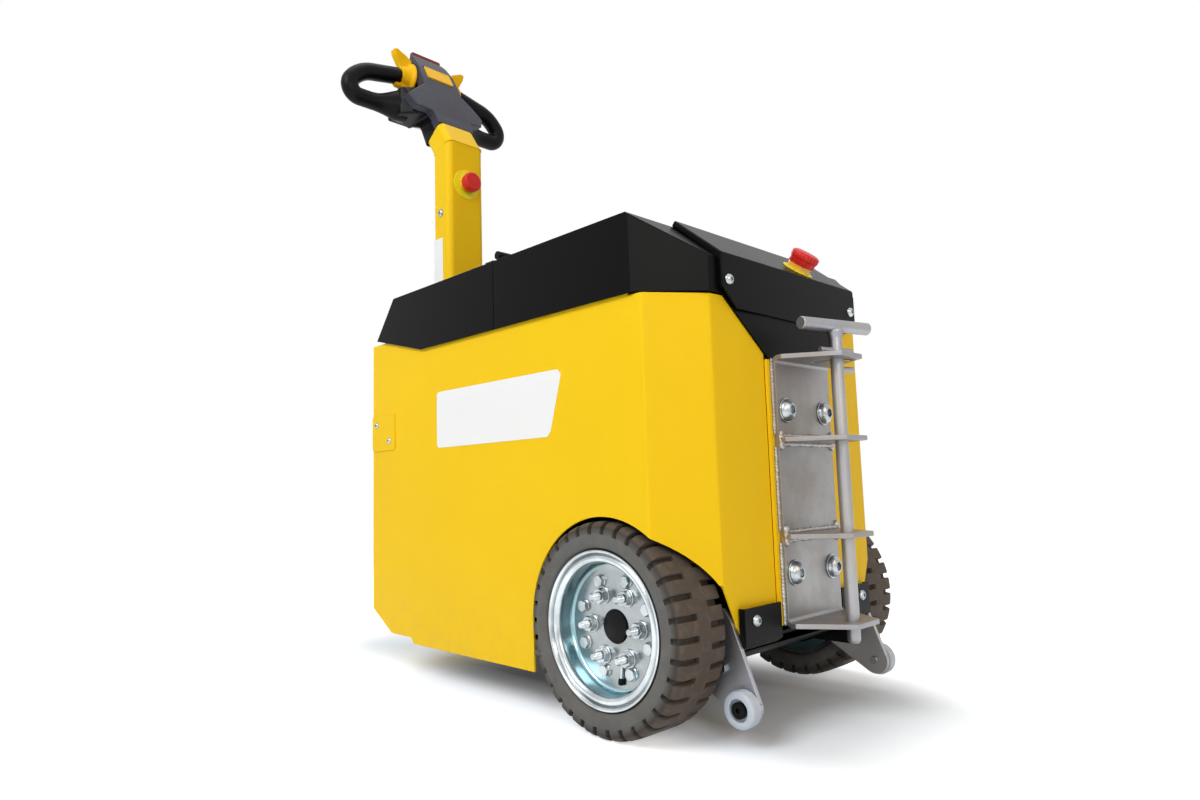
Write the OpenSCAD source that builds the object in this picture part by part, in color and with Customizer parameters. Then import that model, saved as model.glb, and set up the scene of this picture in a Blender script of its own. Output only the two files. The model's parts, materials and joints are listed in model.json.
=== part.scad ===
// Walk behind electric tug. Millimetres, +Z up, +X towards the hitch.
// x is measured from the drive axle inside the modules and shifted once at the end.

/* [Drive wheels] */
// radius of the solid tyre over its lugs
tyre_r = 125; // [110:1:150]
// width of the tyre
tyre_w = 85; // [70:1:100]
// how far the tyre stands out beyond the yellow body
tyre_proud = 7.4; // [3:0.1:12]
// outer radius of the rim flange
rim_r = 91.8; // [80:0.1:100]
// number of lugs on each shoulder
lug_count = 34; // [24:1:40]

/* [Body] */
// half width of the yellow body
body_half_w = 238; // [200:1:280]
// rear face behind the drive axle
body_rear = 543; // [480:1:600]
// top edge of the yellow sheets
body_top = 541; // [500:1:580]
// underside of the side sheets
body_low = 58; // [40:1:80]
// sheet thickness of the yellow body
sheet = 3; // [2:0.5:5]

/* [Cover] */
// how far the black cover stands out beyond the yellow body
cover_side = 5; // [3:0.5:7]
// height of the black cover above the yellow sheets
cover_rise = 69; // [55:1:90]
// how far the cover reaches down over the yellow sheets
cover_lap = 28.6; // [24:0.1:34]
// sheet thickness of the cover
cover_t = 2.5; // [1.5:0.5:4]
// seam between the fixed hood and the battery lid, behind the axle
seam_back = 194; // [150:1:240]

/* [Hitch] */
// radius of the tow pin
pin_r = 8; // [6:0.5:12]
// tow pin ahead of the drive axle
pin_x = 189; // [170:1:210]
// half width of the hitch back plate
hitch_half_w = 64; // [50:1:80]
// thickness of the hitch plates
hitch_t = 6; // [4:1:10]

/* [Tiller] */
// width of the tiller column
column_w = 86; // [70:1:100]
// depth of the tiller column
column_d = 59; // [45:1:75]
// front face of the column behind the axle
column_front = 601.5; // [580:0.5:640]
// height of the bend at the column top
column_kink_z = 995.5; // [900:0.5:1100]
// angle by which the column top leans back
column_lean = 34; // [20:1:45]
// radius of the handle loop tube
grip_r = 17.5; // [14:0.5:20]

/* [Rollers and castor] */
// radius of the front guide rollers
roller_r = 20.6; // [15:0.1:30]
// radius of the castor wheel
castor_r = 40; // [30:1:50]

/* [Hidden] */
$fn = 64;
over = 5;
tiny_gap = 0.3;
gap = 0.5;
run_gap = 0.05;
far = 400;

// widths that follow the body
tyre_out_y = body_half_w + tyre_proud;
cover_half_w = body_half_w + cover_side;
cover_top = body_top + cover_rise;
cover_low = body_top - cover_lap;

// wheels
axle_z = tyre_r;
tyre_in_y = tyre_out_y - tyre_w;
tyre_mid_y = tyre_out_y - tyre_w / 2;
bead_r = 79.8;
bead_inset = 9.4;
shoulder_r = 113;
shoulder_mid_r = 119.5;
shoulder_mid_in = 2.4;
shoulder_top_in = 10;
lip_r = 96;
lip_in = 1.6;
lug_gap_w = 7;
lug_depth = 5;
lug_len = 32;
rim_lip_in = 2.8;
rim_lip_y = tyre_out_y - rim_lip_in;
rim_t = 3.2;
barrel_r = 79.5;
barrel_in_r = 76;
rim_disc_in = 30.4;
rim_disc_y = tyre_out_y - rim_disc_in;
rim_disc_t = 4;
rim_hole_r = 20;
rim_lip_t = 3.4;
rim_ring_r = 86;
rim_ring_in = 2.2;
rim_ring_y = rim_lip_y - rim_ring_in;
rim_ring_deep = 6.2;
rim_ring_low_y = rim_lip_y - rim_ring_deep;
rim_inner_in = 3.1;
rim_inner_lip_y = tyre_in_y + rim_inner_in;
rim_joint_r = 51;
stud_pcd_r = 40;
stud_r = 5;
stud_count = 6;
stud_tip = 21;
stud_tip_y = rim_disc_y + stud_tip;
stud_hole_r = 5.1;
nut_h = 8;
nut_r = 9.8;
rim_bolt_pcd_r = 57;
rim_bolt_count = 8;
rim_bolt_turn = 20;
rim_bolt_r = 7.5;
rim_bolt_h = 5.5;
cap_r = 19.4;
cap_h = 5;
cap_dome_r = 60;
hub_barrel_r = 34;
hub_flange_r = 50;
hub_flange_t = 8;
spindle_r = 15;
hub_in = 7.4;
hub_in_y = tyre_in_y - hub_in;
spindle_len = 52;
spindle_in_y = hub_in_y - spindle_len;

// yellow body
bend1_x = 79;
bend2_x = 126;
nose_in = 68;
bend2_y = body_half_w - nose_in;
wing_x = 130;
wing_side = 8;
wing_y = hitch_half_w + wing_side;
front_plate_t = 4;
front_plate_gap = 0.4;
front_x = wing_x + front_plate_gap + front_plate_t;
front_drop = 100;
front_top = body_top - front_drop;
front_cut = 30;
front_top_z = body_top - front_cut;
front_cut_x = 58;
wing_low = 119;
spike_in = 26;
spike_y = bend2_y - spike_in;
spike_z = 120;
wedge_z = 176;
wedge_x = 100;
arch_x = 4;
arch_clear = 5;
arch_r = tyre_r + arch_clear;
wing_gap = 0.2;
arch_wing_y = bend2_y + wing_gap;
rear_cham_z = 101;
rear_cham_x = -484;
rear_cham_low = 66.8;
step_x1 = -424.7;
step_x2 = -416.3;
flange_w = 14;
flange_end_x = 50;
rear_panel_gap = 0.2;

// black cover
hood_bend1_x = 66.6;
hood_bend2_x = 129;
hood_nose_side = 3;
hood_bend2_y = bend2_y + hood_nose_side;
hood_wing_x = 133.3;
hood_slope_x = 63;
hood_slope = 39.09;
seam_gap = 0.8;
apron_drop = 99;
apron_low = body_top - apron_drop;
apron_in = 19;
apron_top_y = bend2_y - apron_in;
apron_low_y = 66;
apron_back_x = 110;
lid_rear_top_x = -468;
lid_rear_low_x = -522.5;
lid_rear_rise = 5;
lid_rear_low_z = body_top + lid_rear_rise;
lid_corner_x = -386;
lid_drop_share = 2.2;
panel_in = 12;
panel_half_w = bend2_y - panel_in;
panel_x = 136;
panel_drop = 45;
panel_low = body_top - panel_drop;
panel_cut_h = 24;
panel_cut_z = panel_low + panel_cut_h;
panel_cut_w = 27;
panel_cut_y = panel_half_w - panel_cut_w;
panel_rise = 8;
hood_bolt_in = 13;
hood_bolt_y = panel_half_w - hood_bolt_in;
hood_bolt_up = 33;
hood_bolt_z = panel_low + hood_bolt_up;
small_bolt_r = 4;
small_head_r = 7;
small_head_h = 4.4;
small_hex_r = 2.9;
small_hex_depth = 2.4;

// hinge of the lid
hinge_x = -186;
hinge_up = 7;
hinge_z = cover_top + hinge_up;
hinge_r = 6;
hinge_pin_r = 2;
hinge_leaf_t = 2;
hinge_side = 2;
hinge_w = 36;
hinge_out_y = cover_half_w - hinge_side;
hinge_in_y = hinge_out_y - hinge_w;
hinge_seg = 12;
hood_leaf_x = -166;
lid_leaf_x = -214;
lid_leaf_cut_x = -194.8;

// hitch
hitch_low = 116;
hitch_top = 446;
hitch_back_x = front_x;
hitch_face_x = hitch_back_x + hitch_t;
hitch_nose_x = 210;
hitch_nose_y = 25.5;
hitch_taper_x = 150;
hitch_bend_r = 11;
mid_low_z = 221;
mid_top_z = 338;
pin_hole_gap = 0.5;
pin_low = 95;
pin_bar_z = 482;
pin_bar_len = 115;
pin_bar_turn = 75;
peg_r = 4;
peg_len = 27;
peg_low_z = 427;
peg_gap = 0.4;
slot_w = 10;
slot_len = 33.5;
peg_slot_len = 29;
hitch_bolt_y = 44.5;
hitch_bolt_top = 378;
hitch_bolt_low = 179.5;
hitch_bolt_r = 7.9;
hitch_bolt_hole = 8.3;
button_r = 14;
button_h = 8.2;
washer_r = 15.5;
washer_t = 2;
button_hex_r = 5.8;
button_hex_depth = 5;
backing_t = 8;
backing_in = 2;
backing_half_w = hitch_half_w - backing_in;
backing_low = 125;
backing_top = 435;
big_nut_r = 13.8;
big_nut_h = 12;
bolt_tail = 4;

// lower brackets and belly tray
tab_x = 134;
tab_t = 3;
tab_in_y = wing_y + gap;
tab_out_y = spike_y;
tab_low = 107;
tab_top = 148;
tab_bolt_in = 19;
tab_bolt_y = tab_out_y - tab_bolt_in;
tab_bolt_z = 133;
tab_back_x = 128.6;
tab_lip_x = 112;
tab_lip_z = 94.5;
tray_t = 2;
tray_rear_x = -345;
tray_knee_x = 40;
tray_low = 61;
tray_front_x = 131;

// chassis
rail_side = 16.4;
rail_w = 10;
rail_out_y = tyre_in_y - rail_side;
rail_in_y = rail_out_y - rail_w;
tray_half_w = rail_in_y;
rail_low = 64;
rail_top = 98;
rail_rear_x = -480;
base_rear_x = -531;
rail_front_x = 112;
base_t = 4;
base_in = 6;
base_half_w = body_half_w - base_in;
base_front_x = -134;
cross_rear_x = 56;
cross_front_x = 100;
post_x = -186;
post_w = 10;
post_in = 14;
post_in_y = rail_in_y - post_in;
upright_in = 9;
upright_in_y = wing_y - upright_in;
upright_t = 7;
upright_x = 90;
upright_low = 110;
saddle_half = 22;
shelf_z = 300;
shelf_t = 3;
shelf_rear_x = -188;
shelf_front_x = 78;
shelf_in = 12;
shelf_half_w = body_half_w - shelf_in;
housing_side = 1;
housing_in_y = rail_out_y + housing_side;
housing_t = 2;
housing_clear = 1;
housing_r = arch_r + housing_clear;
housing_rear_x = -129;
housing_low = 102.5;
housing_front_x = 120;
housing_hole_r = 40;

// drive train
tube_r = 24;
tube_end_y = rail_out_y + gap;
box_half_x = 50;
box_y_right = -40;
box_y_left = 20;
box_low = 72;
box_top = 285;
box_corner_r = 16;
motor_z = 228;
motor_r = 52;
motor_end_y = 140;
motor_cap_h = 10;
motor_cap_r = 46;
brake_r = 40;
brake_end_y = -84;

// electrics
battery_rear_x = -520;
battery_len = 318;
battery_in_y = 4;
battery_w = 172;
battery_low = 106.5;
battery_h = 218;
post_r = 8;
post_h = 12;
post_inset = 30;
tray_wall = 2;
tray_lip = 22;
ctrl_x = -150;
ctrl_len = 170;
ctrl_w = 140;
ctrl_h = 60;
fin_count = 8;
fin_h = 14;
fin_t = 5;
contactor_r = 24;
contactor_h = 62;
contactor_y = -130;
socket_y = 150;
socket_z = 430;
socket_r = 24;
socket_t = 5;
socket_hole_r = 17;
socket_body_r = 16.8;
socket_depth = 34;

// access plates, label plates
access_x1 = -542.6;
access_x2 = -470;
access_z1 = 359.5;
access_z2 = 419;
access_t = 2;
access_corner_r = 6;
screw_head_r = 5;
screw_head_h = 3;
screw_inset = 16;
screw_hex_r = 2;
label_t = 0.6;
label_x1 = -346;
label_x2 = -61;
label_x3 = -83;
label_drop = 100.5;
label_h = 85;
label_z2 = body_top - label_drop;
label_z1 = label_z2 - label_h;
label_corner_r = 7;
strip_x1 = -655;
strip_x2 = -624;
strip_up = 20;
strip_h = 166;
strip_z1 = cover_top + strip_up;
strip_z2 = strip_z1 + strip_h;

// roller arms
arm_side = 3.5;
arm_in_y = rail_out_y + arm_side;
arm_t = 6;
roller_x = 138;
roller_z = 43;
arm_end_r = 18.5;
arm_rear_x = 57;
arm_rear_z = 70.5;
arm_top_z = 148;
arm_top_x = 112;
arm_front_x = 121;
arm_front_z = 137;
arm_tan_x = 155.6;
arm_tan_z = 49;
arm_low_x = 127.5;
arm_low_z = 27.5;
roller_gap = 0.5;
roller_w = 16;
roller_axle_r = 5;
roller_head_r = 9;
roller_head_h = 5;
roller_dish_r = 12;
boss_r = 9;
boss_z = 82;
boss_rear_x = 78;
boss_front_x = 108;
arm_head_r = 6.5;
arm_head_h = 4;

// castor
castor_x = -420;
castor_trail = 25;
castor_w = 32;
castor_plate_half = 50;
castor_plate_t = 4;
castor_disc_r = 32;
castor_disc_low = 86;
fork_in_y = 18;
fork_t = 4;
fork_end_r = 12;
fork_half = 24;
castor_axle_r = 6;
kingpin_r = 8;
swivel_gap = 0.4;

// column
column_corner_r = 13;
column_wall = 3;
column_wall_top = 4;
column_low = 480;
post_wall = 3;
post_low_z = 120;
post_top_z = 868;
column_top_len = 56;
column_bolt_x = -630;
column_bolt_z = 848;
arm_plate_t = 6;
arm_plate_rear = 652;
arm_plate_low = 150;
arm_plate_top = 462;
arm_foot_half = 85;
arm_foot_low = 140;
arm_foot_top = 472;
tiller_bolt_low = 190;
tiller_bolt_high = 420;

// emergency stops
stop_r = 19.8;
stop_h = 9;
stop_skirt_r = 18;
stop_skirt_h = 8;
stop_collar_r = 17;
stop_collar_vis = 8.5;
stop_collar_h = 12;
stop_cup_gap = 0.3;
stop_travel = 4;
stop_cup_top = 16.6;
stop_neck_r = 11;
stop_neck_len = 8;
stop_neck_hole = 11.2;
stop_stem_r = 5;
stop_stem_len = 14;
stop_block = 30;
stop_block_h = 36;
stop_disc_t = 1.5;
stop_disc_big = 30;
stop_disc_small = 22;
stop_dome_r = 55;
rib_count = 24;
rib_r = 1.3;
front_stop_x = 115.5;
front_stop_y = 44;
tiller_stop_z = 909;
hood_stop_hole = 23;

// tiller head, side outline in shares of its own height
head_h = 210;
head_x0 = -column_front - column_top_len * sin(column_lean);
head_z0 = column_kink_z + column_top_len * cos(column_lean);
hub_share = [-0.51517, 0.63845];
hub_x = head_x0 + hub_share[0] * head_h;
hub_z = head_z0 + hub_share[1] * head_h;
hub_r = 27;
rear_reach = -hub_x + hub_r;
front_reach = pin_x + pin_bar_len / 2 * cos(pin_bar_turn) + pin_r * sin(pin_bar_turn);
spine_half = 43;
arm_root_y = 92;

axle_x = (rear_reach - front_reach) / 2;

function mirror_pts(pts) = [for (i = [len(pts) - 1 : -1 : 0]) [pts[i][0], -pts[i][1]]];
function unit2(v) = v / norm(v);
function side_n(a, b) = let (d = unit2(b - a)) [-d[1], d[0]];
function inset(a, p, b, t) = let (m = side_n(a, p), n = side_n(p, b)) p + t * (m + n) / (1 + m * n);

// outline helpers: an outline drawn in XZ, YZ or XY and thickened along the third axis
module xz(lo, hi) {
  translate([0, hi, 0])
    rotate([90, 0, 0])
      linear_extrude(height = hi - lo)
        children();
}
module yz(lo, hi) {
  translate([lo, 0, 0])
    rotate([90, 0, 90])
      linear_extrude(height = hi - lo)
        children();
}
module xy(lo, hi) {
  translate([0, 0, lo])
    linear_extrude(height = hi - lo)
      children();
}
module box(lo, hi) {
  translate(lo)
    cube(hi - lo);
}
module rod_x(r, lo, hi) {
  translate([lo, 0, 0])
    rotate([0, 90, 0])
      cylinder(r = r, h = hi - lo);
}
module rod_y(r, lo, hi) {
  translate([0, lo, 0])
    rotate([-90, 0, 0])
      cylinder(r = r, h = hi - lo);
}
module spin_y() {
  rotate([-90, 0, 0])
    rotate_extrude()
      children();
}
module side(s) {
  if (s > 0)
    children();
  else
    mirror([0, 1, 0])
      children();
}
module both() {
  children();
  mirror([0, 1, 0])
    children();
}
module round_rect(w, h, r) {
  square([w - 2 * r, h], center = true);
  square([w, h - 2 * r], center = true);
  for (i = [-1, 1])
    for (j = [-1, 1])
      translate([i * (w / 2 - r), j * (h / 2 - r)])
        circle(r = r);
}

// body sheets
plan_rear = [-body_rear, body_half_w];
plan_b1 = [bend1_x, body_half_w];
plan_b2 = [bend2_x, bend2_y];
plan_end = [wing_x, wing_y];
in_rear = [-body_rear, body_half_w - sheet];
in_b1 = inset(plan_rear, plan_b1, plan_b2, -sheet);
in_b2 = inset(plan_b1, plan_b2, plan_end, -sheet);
in_end = [wing_x - sheet, wing_y];

module side_outline() {
  polygon([
    [-body_rear, body_top],
    [-body_rear, rear_cham_z],
    [rear_cham_x, rear_cham_low],
    [step_x1, rear_cham_low],
    [step_x2, body_low],
    [wing_x + over, body_low],
    [wing_x + over, body_top]
  ]);
}

module side_panel(s) {
  color("gold") place()
    side(s) {
      difference() {
        intersection() {
          xy(body_low, body_top)
            polygon([plan_rear, plan_b1, plan_b2, plan_end, in_end, in_b2, in_b1, in_rear]);
          xz(0, far)
            side_outline();
        }
        translate([arch_x, 0, axle_z])
          rod_y(arch_r, arch_wing_y, far);
        box([arch_x - arch_r, arch_wing_y, 0], [wing_x + over, far, axle_z]);
        yz(wedge_x, wing_x + over)
          polygon([
            [spike_y, spike_z],
            [arch_wing_y, wedge_z],
            [far, wedge_z],
            [far, 0],
            [spike_y, 0]
          ]);
        box([wedge_x, 0, 0], [wing_x + over, spike_y + over, wing_low]);
        box([front_cut_x, 0, front_top_z], [wing_x + over, far, far * 2]);
        translate([0, tab_bolt_y, tab_bolt_z])
          rod_x(small_bolt_r + tiny_gap, wedge_x, wing_x + over);
      }
      box(
        [-body_rear + sheet + rear_panel_gap, body_half_w - sheet - flange_w, body_top - sheet],
        [flange_end_x, body_half_w - sheet, body_top]
      );
    }
}

module rear_panel() {
  color("gold") place()
    difference() {
      xz(-body_half_w + sheet + rear_panel_gap, body_half_w - sheet - rear_panel_gap)
        polygon([
          [-body_rear, body_top],
          [-body_rear, rear_cham_z],
          [rear_cham_x, rear_cham_low],
          [rear_cham_x + sheet / 2, rear_cham_low + sheet],
          [-body_rear + sheet, rear_cham_z + sheet / 2],
          [-body_rear + sheet, body_top]
        ]);
      translate([0, socket_y, socket_z])
        rod_x(socket_hole_r, -body_rear - over, -body_rear + sheet + over);
    }
}

module hitch_bolt_places() {
  for (y = [-hitch_bolt_y, hitch_bolt_y])
    for (z = [hitch_bolt_low, hitch_bolt_top])
      translate([0, y, z])
        children();
}

module front_plate() {
  color("gold") place()
    difference() {
      box([front_x - front_plate_t, -wing_y, wing_low], [front_x, wing_y, front_top]);
      hitch_bolt_places()
        rod_x(hitch_bolt_hole, wing_x - over, front_x + over);
    }
}

module hitch_backing() {
  color("dimgray") place()
    difference() {
      box(
        [front_x - front_plate_t - backing_t, -backing_half_w, backing_low],
        [front_x - front_plate_t, backing_half_w, backing_top]
      );
      hitch_bolt_places()
        rod_x(hitch_bolt_hole, wing_x - far / 4, front_x + over);
    }
}

// black cover
hood_rear_x = -seam_back + seam_gap / 2;
lid_front_x = -seam_back - seam_gap / 2;
h_rear = [hood_rear_x, cover_half_w];
h_b1 = [hood_bend1_x, cover_half_w];
h_b2 = [hood_bend2_x, hood_bend2_y];
h_end = [hood_wing_x, wing_y];
hi_rear = [hood_rear_x - over, cover_half_w - cover_t];
hi_b1 = inset(h_rear, h_b1, h_b2, -cover_t);
hi_b2 = inset(h_b1, h_b2, h_end, -cover_t);
hi_end = [hood_wing_x - cover_t, wing_y];
slope_run = far / 2;

module hood_body(plan, z_low, drop, rear_x) {
  intersection() {
    xy(z_low, cover_top)
      polygon(concat(plan, mirror_pts(plan)));
    xz(-far, far)
      polygon([
        [rear_x, z_low],
        [hood_slope_x + slope_run, z_low],
        [hood_slope_x + slope_run, cover_top - drop / cos(hood_slope) - slope_run * tan(hood_slope)],
        [hood_slope_x - drop * tan(hood_slope / 2), cover_top - drop],
        [rear_x, cover_top - drop]
      ]);
  }
}

module hood_outer() {
  hood_body([h_rear, h_b1, h_b2, h_end], apron_low, 0, hood_rear_x);
}

module hood_bolt_places() {
  for (y = [-hood_bolt_y, hood_bolt_y])
    translate([0, y, hood_bolt_z])
      children();
}

module at_front_stop() {
  translate([
    front_stop_x,
    front_stop_y,
    cover_top - (front_stop_x - hood_slope_x) * tan(hood_slope) + panel_rise / cos(hood_slope)
  ])
    rotate([0, hood_slope, 0])
      children();
}

module front_hood() {
  color("black") place()
    difference() {
      hood_outer();
      hood_body([hi_rear, hi_b1, hi_b2, hi_end], apron_low - over, cover_t, hood_rear_x - over);
      difference() {
        box([hood_rear_x - over, -far, apron_low - over], [wing_x + over * 2, far, cover_low]);
        yz(apron_back_x, far)
          polygon([
            [-apron_top_y, cover_low],
            [-apron_low_y, apron_low],
            [apron_low_y, apron_low],
            [apron_top_y, cover_low]
          ]);
      }
      at_front_stop()
        cylinder(r = hood_stop_hole, h = far / 4, center = true);
      hood_bolt_places()
        rod_x(small_bolt_r + tiny_gap, apron_back_x, panel_x + over);
    }
}

module panel_outline(inside) {
  rise = panel_rise - inside;
  top_z = cover_top - (panel_x - inside - hood_slope_x) * tan(hood_slope) + rise / cos(hood_slope);
  ridge_x = hood_slope_x + rise * sin(hood_slope) + inside * cos(hood_slope);
  ridge_z = cover_top + rise * cos(hood_slope) - inside * sin(hood_slope);
  polygon([
    [panel_x - inside, panel_low - inside * over],
    [panel_x - inside, top_z],
    [ridge_x, ridge_z],
    [ridge_x - far / 4 * sin(hood_slope), ridge_z - far / 4 * cos(hood_slope)],
    [hood_slope_x - far / 8, panel_low - inside * over]
  ]);
}

module hood_panel() {
  color("black") place()
    difference() {
      intersection() {
        xz(-panel_half_w, panel_half_w)
          panel_outline(0);
        yz(0, far)
          polygon([
            [-panel_cut_y, panel_low],
            [panel_cut_y, panel_low],
            [panel_half_w, panel_cut_z],
            [panel_half_w, far * 2],
            [-panel_half_w, far * 2],
            [-panel_half_w, panel_cut_z]
          ]);
      }
      xz(-panel_half_w + cover_t, panel_half_w - cover_t)
        panel_outline(cover_t);
      hood_outer();
      box([0, -far, 0], [hood_bend2_x, far, cover_low]);
      hood_bolt_places()
        rod_x(small_bolt_r + tiny_gap, apron_back_x, panel_x + over);
      at_front_stop()
        cylinder(r = stop_neck_hole, h = far / 4, center = true);
    }
}

lid_top = [lid_rear_top_x, cover_top];
lid_low = [lid_rear_low_x, lid_rear_low_z];
lid_front = [lid_front_x, cover_top];
lid_in_top = inset(lid_low, lid_top, lid_front, -cover_t);
lid_in_low = lid_in_top + (lid_low - lid_top) * lid_drop_share;

module battery_lid() {
  color("black") place()
    difference() {
      xz(-cover_half_w, cover_half_w)
        polygon([
          [lid_front_x, cover_low],
          [lid_corner_x, cover_low],
          lid_low,
          lid_top,
          lid_front
        ]);
      xz(-cover_half_w + cover_t, cover_half_w - cover_t)
        polygon([
          lid_in_top,
          lid_in_low,
          [lid_front_x + over, lid_in_low[1]],
          [lid_front_x + over, cover_top - cover_t]
        ]);
    }
}

// lid hinges: two short butt hinges near the sides
module hinge_knuckle(lo, hi) {
  translate([hinge_x, 0, hinge_z])
    rod_y(hinge_r, lo, hi);
}

module lid_hinge_fixed() {
  color("black") place()
    both() {
      difference() {
        union() {
          box([hinge_x, hinge_in_y, cover_top], [hood_leaf_x, hinge_out_y, cover_top + hinge_leaf_t]);
          hinge_knuckle(hinge_in_y, hinge_in_y + hinge_seg - gap);
          hinge_knuckle(hinge_out_y - hinge_seg + gap, hinge_out_y);
        }
        box(
          [hinge_x - over * 2, hinge_in_y + hinge_seg - gap, cover_top - over],
          [hinge_x + hinge_r + gap, hinge_out_y - hinge_seg + gap, hinge_z + over * 2]
        );
      }
      translate([hinge_x, 0, hinge_z])
        rod_y(hinge_pin_r, hinge_in_y + hinge_seg - gap, hinge_out_y - hinge_seg + gap);
    }
}

module lid_hinge_moving() {
  color("black") place()
    both()
      difference() {
        union() {
          box(
            [lid_leaf_x, hinge_in_y, cover_top],
            [lid_leaf_cut_x, hinge_out_y, cover_top + hinge_leaf_t]
          );
          box(
            [lid_leaf_cut_x - over, hinge_in_y + hinge_seg, cover_top + gap],
            [hinge_x, hinge_out_y - hinge_seg, cover_top + hinge_leaf_t]
          );
          hinge_knuckle(hinge_in_y + hinge_seg, hinge_out_y - hinge_seg);
        }
        translate([hinge_x, 0, hinge_z])
          rod_y(hinge_pin_r + run_gap, hinge_in_y, hinge_out_y);
      }
}

// small socket head screws pointing along +X
module small_bolt(face_x, tail_x) {
  difference() {
    union() {
      rod_x(small_bolt_r, tail_x, face_x);
      rod_x(small_head_r, face_x, face_x + small_head_h);
    }
    translate([face_x + small_head_h - small_hex_depth, 0, 0])
      rotate([0, 90, 0])
        cylinder(r = small_hex_r, h = over * 2, $fn = 6);
  }
}

// hitch
module hitch_plan() {
  polygon([
    [hitch_back_x - over, -hitch_half_w],
    [hitch_taper_x, -hitch_half_w],
    [hitch_nose_x, -hitch_nose_y],
    [hitch_nose_x, hitch_nose_y],
    [hitch_taper_x, hitch_half_w],
    [hitch_back_x - over, hitch_half_w]
  ]);
}

module bent_c(in) {
  r = hitch_bend_r - in;
  lo = hitch_low + in;
  hi = hitch_top - in;
  x = hitch_back_x + in;
  translate([x + r, lo])
    square([far, hi - lo]);
  translate([x, lo + r])
    square([r * 2, hi - lo - 2 * r]);
  translate([x + r, lo + r])
    circle(r = r);
  translate([x + r, hi - r])
    circle(r = r);
}

module pin_hole() {
  translate([pin_x, 0, 0])
    cylinder(r = pin_r + pin_hole_gap, h = far * 2);
}

module hitch_bracket() {
  color("gray") place()
    difference() {
      intersection() {
        xz(-far, far)
          difference() {
            bent_c(0);
            bent_c(hitch_t);
          }
        xy(0, far * 2)
          hitch_plan();
      }
      pin_hole();
      hitch_bolt_places()
        rod_x(hitch_bolt_hole, wing_x, hitch_face_x + over);
      translate([pin_x - slot_len, -slot_w / 2, hitch_top - hitch_t - over])
        cube([slot_len, slot_w, hitch_t + over * 2]);
      translate([pin_x, 0, hitch_top - hitch_t - over])
        rotate([0, 0, pin_bar_turn])
          translate([0, -slot_w / 2, 0])
            cube([peg_slot_len, slot_w, hitch_t + over * 2]);
    }
}

module hitch_mid_plates() {
  color("gray") place()
    difference() {
      for (z = [mid_low_z, mid_top_z])
        intersection() {
          xy(z, z + hitch_t)
            hitch_plan();
          box([hitch_face_x, -far, z], [far, far, z + hitch_t]);
        }
      pin_hole();
    }
}

button_shares = [[0, 0], [1, 0], [1, 0.12], [0.93, 0.3], [0.76, 0.47], [0.55, 0.59], [0, 0.59]];

module hitch_bolts() {
  color("silver") place()
    hitch_bolt_places() {
      difference() {
        union() {
          rod_x(washer_r, hitch_face_x, hitch_face_x + washer_t);
          translate([hitch_face_x + washer_t, 0, 0])
            rotate([0, 90, 0])
              rotate_extrude()
                polygon(button_r * button_shares);
          rod_x(
            hitch_bolt_r,
            front_x - front_plate_t - backing_t - big_nut_h - bolt_tail,
            hitch_face_x + over / 2
          );
        }
        translate([hitch_face_x + washer_t + button_h - button_hex_depth, 0, 0])
          rotate([0, 90, 0])
            cylinder(r = button_hex_r, h = over * 3, $fn = 6);
      }
      translate([front_x - front_plate_t - backing_t - big_nut_h, 0, 0])
        rotate([0, 90, 0])
          cylinder(r = big_nut_r, h = big_nut_h, $fn = 6);
    }
}

module hitch_pin() {
  color("silver") place()
    translate([pin_x, 0, 0]) {
      translate([0, 0, pin_low])
        cylinder(r = pin_r, h = pin_bar_z - pin_low);
      translate([0, 0, pin_bar_z])
        rotate([0, 0, pin_bar_turn])
          rotate([0, 90, 0])
            cylinder(r = pin_r, h = pin_bar_len, center = true);
      translate([0, 0, hitch_top + peg_gap + peg_r])
        rotate([0, 0, pin_bar_turn])
          rotate([0, 90, 0])
            cylinder(r = peg_r, h = peg_len * 2, center = true);
      translate([0, 0, peg_low_z])
        rotate([0, 0, pin_bar_turn])
          rotate([0, 90, 0])
            cylinder(r = peg_r, h = peg_len);
    }
}

// lower front tabs and belly tray
module lower_tabs() {
  color("black") place()
    both()
      difference() {
        union() {
          box([tab_x, tab_in_y, tab_low], [tab_x + tab_t, tab_out_y, tab_top]);
          box([tab_back_x, tab_out_y, tab_low], [tab_x + tab_t, tab_out_y + tab_t, tab_top]);
          xz(tab_in_y, tab_out_y + tab_t)
            polygon([
              [tab_x + tab_t, tab_low],
              [tab_x, tab_low + tab_t / 2],
              [tab_lip_x, tab_lip_z],
              [tab_lip_x + tab_t / 2, tab_lip_z - tab_t]
            ]);
        }
        translate([0, tab_bolt_y, tab_bolt_z])
          rod_x(small_bolt_r + tiny_gap, wedge_x, tab_x + over * 2);
        box([0, -over, 0], [tray_front_x + tiny_gap, tray_half_w + gap, tab_low - tab_t * 2]);
      }
}

module belly_tray() {
  color("black") place()
    xz(-tray_half_w, tray_half_w)
      polygon([
        [tray_rear_x, tray_low],
        [tray_knee_x, tray_low],
        [tab_lip_x - gap, tab_lip_z - tab_t],
        [tab_lip_x - gap, tab_lip_z - tab_t + tray_t],
        [tray_knee_x - tray_t / 2, tray_low + tray_t],
        [tray_rear_x, tray_low + tray_t]
      ]);
}

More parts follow.
